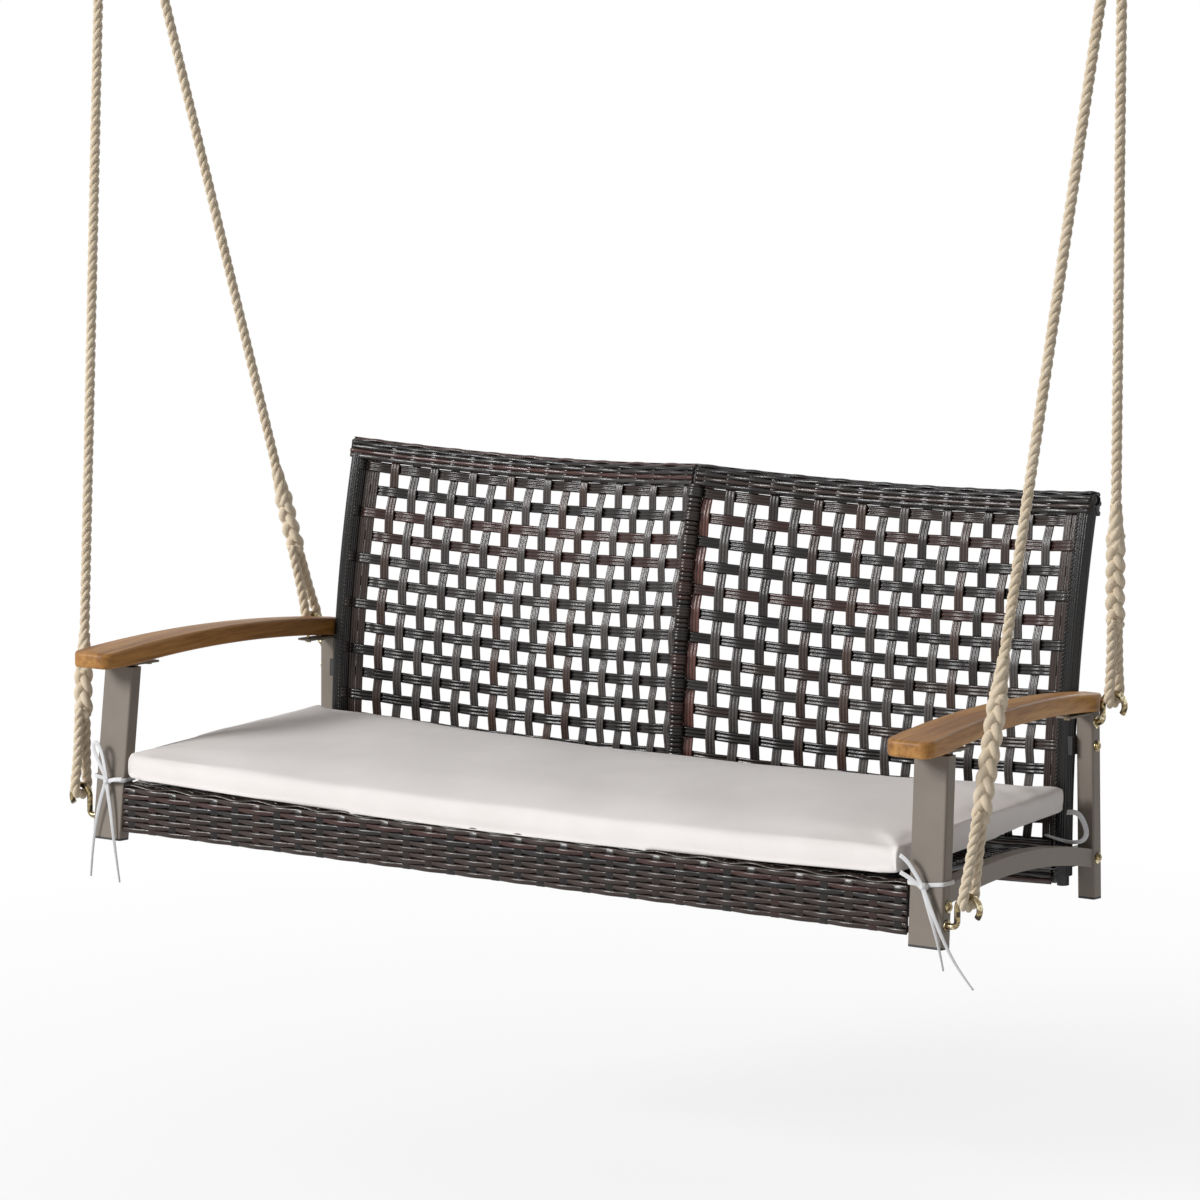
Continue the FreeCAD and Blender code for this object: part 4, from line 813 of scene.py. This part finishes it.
def arm(mirror, name):
    y = np.concatenate([
        ARM_FRONT + ARM_CORNER * np.linspace(0.0, 1.0, 14) ** 2,
        np.linspace(ARM_FRONT + ARM_CORNER, ARM_REAR - ARM_REAR_ROUND, 60)[1:],
        ARM_REAR - ARM_REAR_ROUND * np.linspace(1.0, 0.0, 5)[1:] ** 2,
    ])
    share = (y - ARM_FRONT) / (ARM_REAR - ARM_FRONT)
    rear = quarter(ARM_REAR - y, ARM_REAR_ROUND)
    inset = quarter(y - ARM_FRONT, ARM_CORNER) + rear
    thin = quarter(y - ARM_FRONT, ARM_EDGE) + rear
    low = ARM_C[2] + np.sqrt(ARM_R ** 2 - (y - ARM_C[1]) ** 2)
    z0 = low + ARM_RISE * (1.0 - eased(y, ARM_FRONT, 12.0)) + thin
    z1 = low + ARM_THICK - thin
    x0 = 622.0 - 13.5 * share + inset
    x1 = 690.0 - 52.5 * share - inset
    edges = ((x1, z1, 1.0, 1.0, 0.0), (x0, z1, -1.0, 1.0, 90.0), (x0, z0, -1.0, -1.0, 180.0),
             (x1, z0, 1.0, -1.0, 270.0))
    rings = []
    for x, z, outer, upper, first in edges:
        for turn in np.radians(np.arange(first, first + 91.0, 18.0)):
            rings.append(np.column_stack([x + ARM_EDGE * (math.cos(turn) - outer), y,
                                          z + ARM_EDGE * (math.sin(turn) - upper)]))
    skin = Skin()
    skin.sweep(np.stack(rings, 1)[:, ::-1], y, (1, 1, 1), mirror)
    finish_piece(skin.piece("arm_board_" + name, WOOD), "arm_wood", "armrest_" + name)


arm(False, "right")
arm(True, "left")


# Cushion: a boxed outline with raised corners, inflated as cloth, then given a drooping
# front edge, soft hollows and puckers at the front ties.
CUSHION_FRONT, CUSHION_REAR, CUSHION_HALF, CUSHION_TILT = -8.0, 410.0, 628.0, 0.058
CUSHION_EDGE, CUSHION_CROWN, CUSHION_BULGE = 20.0, 11.0, 4.0
CUSHION_Z = (SEAT_C[2] + (SEAT_R + 1.6) * math.sqrt(1.0 + CUSHION_TILT ** 2)
             - CUSHION_TILT * SEAT_C[1] + 0.4)
CELL, SWELL_FRAMES, SWELL_MOST = 0.007, 20, 0.005


def read_points(mesh, kind="co"):
    flat = np.zeros(len(mesh.vertices) * 3, np.float32)
    mesh.vertices.foreach_get(kind, flat)
    return flat.reshape(-1, 3).astype(float)


def evaluated_copy(made, name):
    graph = bpy.context.evaluated_depsgraph_get()
    graph.update()
    mesh = bpy.data.meshes.new_from_object(made.evaluated_get(graph))
    mesh.name = name
    return mesh


def swollen(made, start, held_points):
    held = made.vertex_groups.new(name="held")
    held.add([int(i) for i in np.nonzero(held_points)[0]], 1.0, "REPLACE")
    soft = made.modifiers.new("swell", "CLOTH")
    soft.settings.use_pressure = True
    soft.settings.uniform_pressure_force = 4.0
    soft.settings.vertex_group_mass = "held"
    soft.settings.effector_weights.gravity = 0.0
    soft.settings.quality = 5
    soft.settings.mass = 0.3
    soft.settings.tension_stiffness = 14.0
    soft.settings.compression_stiffness = 14.0
    soft.settings.bending_stiffness = 0.6
    soft.point_cache.frame_start = 1
    soft.point_cache.frame_end = SWELL_FRAMES
    for step in range(1, SWELL_FRAMES + 1):
        scene.frame_set(step)
    grown = evaluated_copy(made, "cushion_grown")
    move = read_points(grown) - start
    made.modifiers.remove(soft)
    made.vertex_groups.clear()
    bpy.data.meshes.remove(grown)
    scene.frame_set(1)
    far = np.linalg.norm(move, axis=1, keepdims=True)
    return start + move * np.minimum(1.0, SWELL_MOST / np.maximum(far, 1e-9))


def dressed(points, normals):
    p = bench(points)
    x, y, z = p.T
    middle = 1.0 - np.clip(x / CUSHION_HALF, -1.0, 1.0) ** 2
    p[:, 2] -= 5.0 * middle * (1.0 - eased(y, -6.0, 40.0))
    wave = 0.9 * np.sin(x / 83.0 + 1.3) * np.sin(y / 61.0 + 0.4) + 0.6 * np.sin(x / 37.0 + y / 52.0)
    p[:, 2] += wave * (normals[:, 2] > 0.5)
    for side in (1.0, -1.0):
        dx, dy, dz = side * x - 626.0, y + 6.0, z - 100.0
        far = np.sqrt(dx ** 2 + dy ** 2 + dz ** 2)
        fold = 1.5 * np.cos(7.0 * np.arctan2(dz, dx)) * np.exp(-far / 26.0)
        p = p + normals * fold[:, None]
    dx, dy = x - 560.0, y - 340.0
    near = np.exp(-(dx / 70.0) ** 2 - (dy / 46.0) ** 2)
    p[:, 2] += 1.1 * np.sin((dx * 0.35 + dy) / 9.0) * near * (normals[:, 2] > 0.3)
    return row(p)


def cushion_ring(share):
    drawn, swell = 1.0 - share ** 2, 1.0 - abs(share) ** 3
    y0, y1 = CUSHION_FRONT + 4.0 * drawn, CUSHION_REAR - 16.0 * drawn
    edge = CUSHION_EDGE * (0.88 + 0.12 * swell)
    crown = CUSHION_CROWN * (0.2 + 0.8 * swell)
    side = np.linspace(-1.0, 1.0, 9)
    top = np.linspace(0.0, 1.0, 31)[1:-1]
    under = np.linspace(0.0, 1.0, 25)[1:-1]
    flat = y1 - y0 - 2.0 * CUSHION_BULGE
    bulge = CUSHION_BULGE * side ** 2
    y = np.concatenate([y0 + bulge, y0 + CUSHION_BULGE + flat * top, y1 - bulge,
                        y1 - CUSHION_BULGE - flat * under])
    up = np.concatenate([edge * side, edge + crown * 4.0 * top * (1.0 - top), -edge * side,
                         np.full_like(under, -edge)])
    rear = (y - CUSHION_FRONT) / (CUSHION_REAR - CUSHION_FRONT)
    lift = (6.5 + 5.5 * rear) * share ** 2
    z = CUSHION_Z + CUSHION_TILT * y + CUSHION_EDGE + lift + up
    return np.column_stack([(CUSHION_HALF - 7.0 * rear) * share, y, z])


def make_cushion():
    skin = Skin()
    shares = np.linspace(-1.0, 1.0, 91)
    skin.sweep([cushion_ring(share)[::-1] for share in shares], shares * CUSHION_HALF, (1, 1, 1))
    start = skin.piece("cushion_start", CLOTH)
    block = start.modifiers.new("block", "REMESH")
    block.mode = "VOXEL"
    block.voxel_size = CELL
    mesh = evaluated_copy(start, "cushion_cover")
    bpy.data.objects.remove(start)
    made = bpy.data.objects.new("cushion_cover", mesh)
    scene.collection.objects.link(made)
    normals = read_points(mesh, "normal")
    under = normals[:, 2] < -0.8
    points = read_points(mesh) - normals * np.where(under, 0.0003, 0.0016)[:, None]
    mesh.vertices.foreach_set("co", points.astype(np.float32).ravel())
    points = swollen(made, points, under)
    mesh.vertices.foreach_set("co", dressed(points, normals).astype(np.float32).ravel())
    mesh.polygons.foreach_set("use_smooth", np.ones(len(mesh.polygons), bool))
    mesh.materials.clear()
    mesh.materials.append(CLOTH)
    mesh.update()
    finer = made.modifiers.new("finer", "SUBSURF")
    finer.levels = finer.render_levels = 1
    finish_piece(made, "cushion_cloth", "cushion")


make_cushion()


# Ties: flat tape round each front leg, knotted, with hanging tails, and an open
# loop at each rear corner.
TIE_WIDE, TIE_THICK, TAIL_WIDE, TAIL_END, KNOT_X = 5.4, 1.1, 5.6, 0.45, 658.0


def tape_along(skin, line, out, wide, twist=0.0, mirror=False):
    line = np.asarray(line, float)
    run = unit(np.gradient(line, axis=0))
    out = np.broadcast_to(np.asarray(out, float), line.shape)
    out = unit(out - run * np.sum(out * run, axis=1)[:, None])
    across = np.cross(run, out)
    turn = np.broadcast_to(np.asarray(twist, float), (len(line),))[:, None]
    across, out = (across * np.cos(turn) + out * np.sin(turn),
                   out * np.cos(turn) - across * np.sin(turn))
    ribbon(skin, line, across, out, wide, TIE_THICK, (1, 1, 1), mirror, FLAT)


def tape_line(name, points):
    return thinned(smooth_line(name, points, 24), 2.0)


def tape_cord(name, points, replaced, wide, end_share, out, twist):
    line = tape_line(name, points)
    skin = Skin()
    widths = np.linspace(wide, wide * end_share, len(line))
    tape_along(skin, line, out, widths, np.linspace(*twist, len(line)))
    made = finish_piece(skin.piece(name, TAPE), "tie_cloth", replaced)


def knot(skin, centre, wide, tall, deep, mirror):
    around = np.linspace(0.0, 2.0 * math.pi, 25)
    for turn in (0.0, math.pi / 3.0, math.pi * 2.0 / 3.0):
        a = np.array((math.cos(turn) * wide, 0.0, math.sin(turn) * tall))
        b = np.array((0.0, -deep, 0.0))
        line = centre + a * np.cos(around)[:, None] + b * np.sin(around)[:, None]
        out = unit(line - centre)
        run = unit(np.gradient(line, axis=0))
        ribbon(skin, line, np.cross(run, out), out, 5.6, 2.0, (1, 1, 1), mirror, FLAT)


def front_tie(name, mirror, knot_z, leads, tails):
    skin = Skin()
    x0, x1, y0, y1 = 632.1, 684.9, 5.1, 27.7
    xs, ys = (KNOT_X, x0, x0, x1, x1, KNOT_X), (y0 - 0.6, y0, y1, y1, y0, y0 - 0.6)
    heights = knot_z + np.array((1.5, 2.5, 4.0, 5.5, 5.0, 1.5))
    corners = list(zip(xs, ys, heights))
    facings = [(0, -1, 0), (-1, 0, 0), (0, 1, 0), (1, 0, 0), (0, -1, 0)]
    for a, b, facing in zip(corners[:-1], corners[1:], facings):
        tape_along(skin, np.linspace(a, b, 6), facing, TIE_WIDE, 0.0, mirror)
    knot(skin, np.array((KNOT_X + 0.5, 0.6, knot_z)), 4.8, 4.2, 4.8, mirror)
    for points in leads:
        line = tape_line(name + "_lead", points)
        tape_along(skin, line, (0.0, -1.0, 0.2), TIE_WIDE, 0.0, mirror)
    finish_piece(skin.piece(name + "_strap", TAPE), "tie_cloth", name)
    for label, points in zip("ab", tails):
        points = [(-x if mirror else x, y, z) for x, y, z in points]
        tape_cord(name + "_tail_" + label, points, name, TAIL_WIDE, TAIL_END, (0.0, -1.0, 0.0),
                  (0.2, 0.9))


front_tie("tie_front_right", False, 76.0, [
    [(627.0, -6.0, 113.0), (637.0, -6.4, 109.0), (648.0, -4.0, 93.0), (657.0, -1.8, 78.5)],
    [(628.0, -6.0, 92.0), (640.0, -5.0, 87.0), (650.0, -3.0, 80.0), (657.0, -1.6, 75.0)],
], [
    [(659.0, -2.6, 75.0), (669.0, -4.0, 48.0), (684.0, -4.4, 8.0), (692.0, -4.0, -26.0)],
    [(660.0, -3.6, 74.5), (676.0, -5.6, 44.0), (700.0, -6.4, 0.0), (722.0, -6.2, -28.0),
     (736.0, -5.8, -42.0)],
])
front_tie("tie_front_left", True, 80.5, [
    [(627.0, -6.0, 86.5), (640.0, -5.0, 85.5), (650.0, -3.0, 82.5), (657.0, -1.8, 81.0)],
    [(657.0, -2.0, 82.0), (668.0, -5.5, 104.0), (680.0, -6.5, 128.0), (673.0, -7.2, 136.0),
     (664.0, -6.4, 124.0), (660.0, -3.6, 100.0), (658.0, -2.2, 82.0)],
], [
    [(658.0, -2.6, 79.0), (650.0, -4.4, 50.0), (641.0, -4.6, -10.0), (632.5, -4.0, -56.0)],
    [(659.0, -3.4, 78.5), (671.0, -5.2, 44.0), (680.0, -6.0, -16.0), (682.5, -6.0, -52.0)],
])
REAR_LOOP = [
    (620.0, 402.0, 117.0), (634.0, 402.5, 120.0), (645.0, 402.5, 108.0), (651.0, 402.0, 92.0),
    (645.0, 401.0, 82.0), (631.0, 399.0, 79.0), (617.0, 392.0, 82.0), (606.0, 372.0, 90.0),
]
for side, hand in ((1.0, "right"), (-1.0, "left")):
    loop = [(side * x, y, z) for x, y, z in REAR_LOOP]
    tape_cord("tie_rear_" + hand + "_loop", loop, "tie_rear_" + hand, 7.0, 0.8, (0.0, -1.0, 0.0),
              (0.6, 0.6))


# Finishes of the solid parts, by the start of their names
FINISH = (
    (TAUPE, ("front_leg", "rear_leg", "side_stretcher", "arm_plates")),
    (BLACK_STEEL, ("seat_front_rail", "seat_rear_rail", "seat_bars", "apron_bar", "back_post",
                   "back_middle_post", "back_top_rail", "back_bottom_rail", "back_tabs")),
    (FOOT, ("front_feet", "rear_feet")),
    (WOOD, ("armrest",)),
    (ZINC, ("arm_screws", "seat_bolts", "back_bolts", "leg_washers", "hook_")),
    (HANGER, ("hanger_",)),
)
for name, solid in cad.items():
    for look, starts in FINISH:
        if name.startswith(starts):
            solid.data.materials.clear()
            solid.data.materials.append(look)


# Floor, background and light
FLOOR_Z, FLOOR_HALF = -1.895, 30


def seen_rays(tree):
    path = node(tree, "ShaderNodeLightPath")
    seen = path.outputs["Is Camera Ray"]
    for kind in ("Is Glossy Ray", "Is Transmission Ray"):
        both = node(tree, "ShaderNodeMath", {0: seen, 1: path.outputs[kind]}, operation="MAXIMUM")
        seen = both.outputs[0]
    return seen


def make_floor():
    mesh = bpy.data.meshes.new("floor")
    corners = [(-FLOOR_HALF, -FLOOR_HALF, FLOOR_Z), (FLOOR_HALF, -FLOOR_HALF, FLOOR_Z),
               (FLOOR_HALF, FLOOR_HALF, FLOOR_Z), (-FLOOR_HALF, FLOOR_HALF, FLOOR_Z)]
    mesh.from_pydata(corners, [], [(0, 1, 2, 3)])
    floor = bpy.data.objects.new("floor", mesh)
    scene.collection.objects.link(floor)
    ground, tree, shader = material("pale_floor", (0.86, 0.86, 0.86), 0.9)
    glow = node(tree, "ShaderNodeEmission", {"Color": (1, 1, 1, 1), "Strength": 1.0})
    where = node(tree, "ShaderNodeTexCoord").outputs["Object"]
    gap = node(tree, "ShaderNodeVectorMath", {0: where, 1: (0.0, 0.2, FLOOR_Z)}, operation="DISTANCE")
    fade = node(tree, "ShaderNodeMapRange", {"Value": gap.outputs["Value"], "From Min": 0.2,
                                             "From Max": 2.2, "To Min": 0.75, "To Max": 1.0})
    share = node(tree, "ShaderNodeMath", {0: seen_rays(tree), 1: fade.outputs["Result"]},
                 operation="MULTIPLY")
    blend = node(tree, "ShaderNodeMixShader", {0: share.outputs[0], 1: shader.outputs[0],
                                               2: glow.outputs[0]})
    tree.links.new(blend.outputs[0], tree.nodes["Material Output"].inputs["Surface"])
    mesh.materials.append(ground)


def make_world(strength):
    world = bpy.data.worlds.new("studio")
    scene.world = world
    world.use_nodes = True
    tree = world.node_tree
    plain = tree.nodes["Background"]
    plain.inputs["Color"].default_value = (1, 1, 1, 1)
    plain.inputs["Strength"].default_value = strength
    white = node(tree, "ShaderNodeBackground", {"Color": (1, 1, 1, 1), "Strength": 1.0})
    blend = node(tree, "ShaderNodeMixShader", {0: seen_rays(tree), 1: plain.outputs[0],
                                               2: white.outputs[0]})
    tree.links.new(blend.outputs[0], tree.nodes["World Output"].inputs["Surface"])


def lamp(name, where, aim, size, power):
    data = bpy.data.lights.new(name, "AREA")
    data.shape = "RECTANGLE"
    data.size, data.size_y = size
    data.energy = power
    made = bpy.data.objects.new(name, data)
    made.location = where
    made.rotation_euler = (Vector(aim) - Vector(where)).to_track_quat("-Z", "Y").to_euler()
    scene.collection.objects.link(made)


make_floor()
make_world(0.235)
lamp("key", (-7.3, -10.3, 4.75), (0.0, 0.1, -1.25), (4.6, 3.8), 1780.0)
lamp("fill", (3.4, -2.8, -0.4), (0.0, 0.1, -1.2), (1.6, 1.6), 3.0)
lamp("rim", (0.6, 3.8, 0.6), (0.0, 0.2, -1.0), (2.6, 1.6), 42.0)

scene.view_settings.view_transform = "Standard"
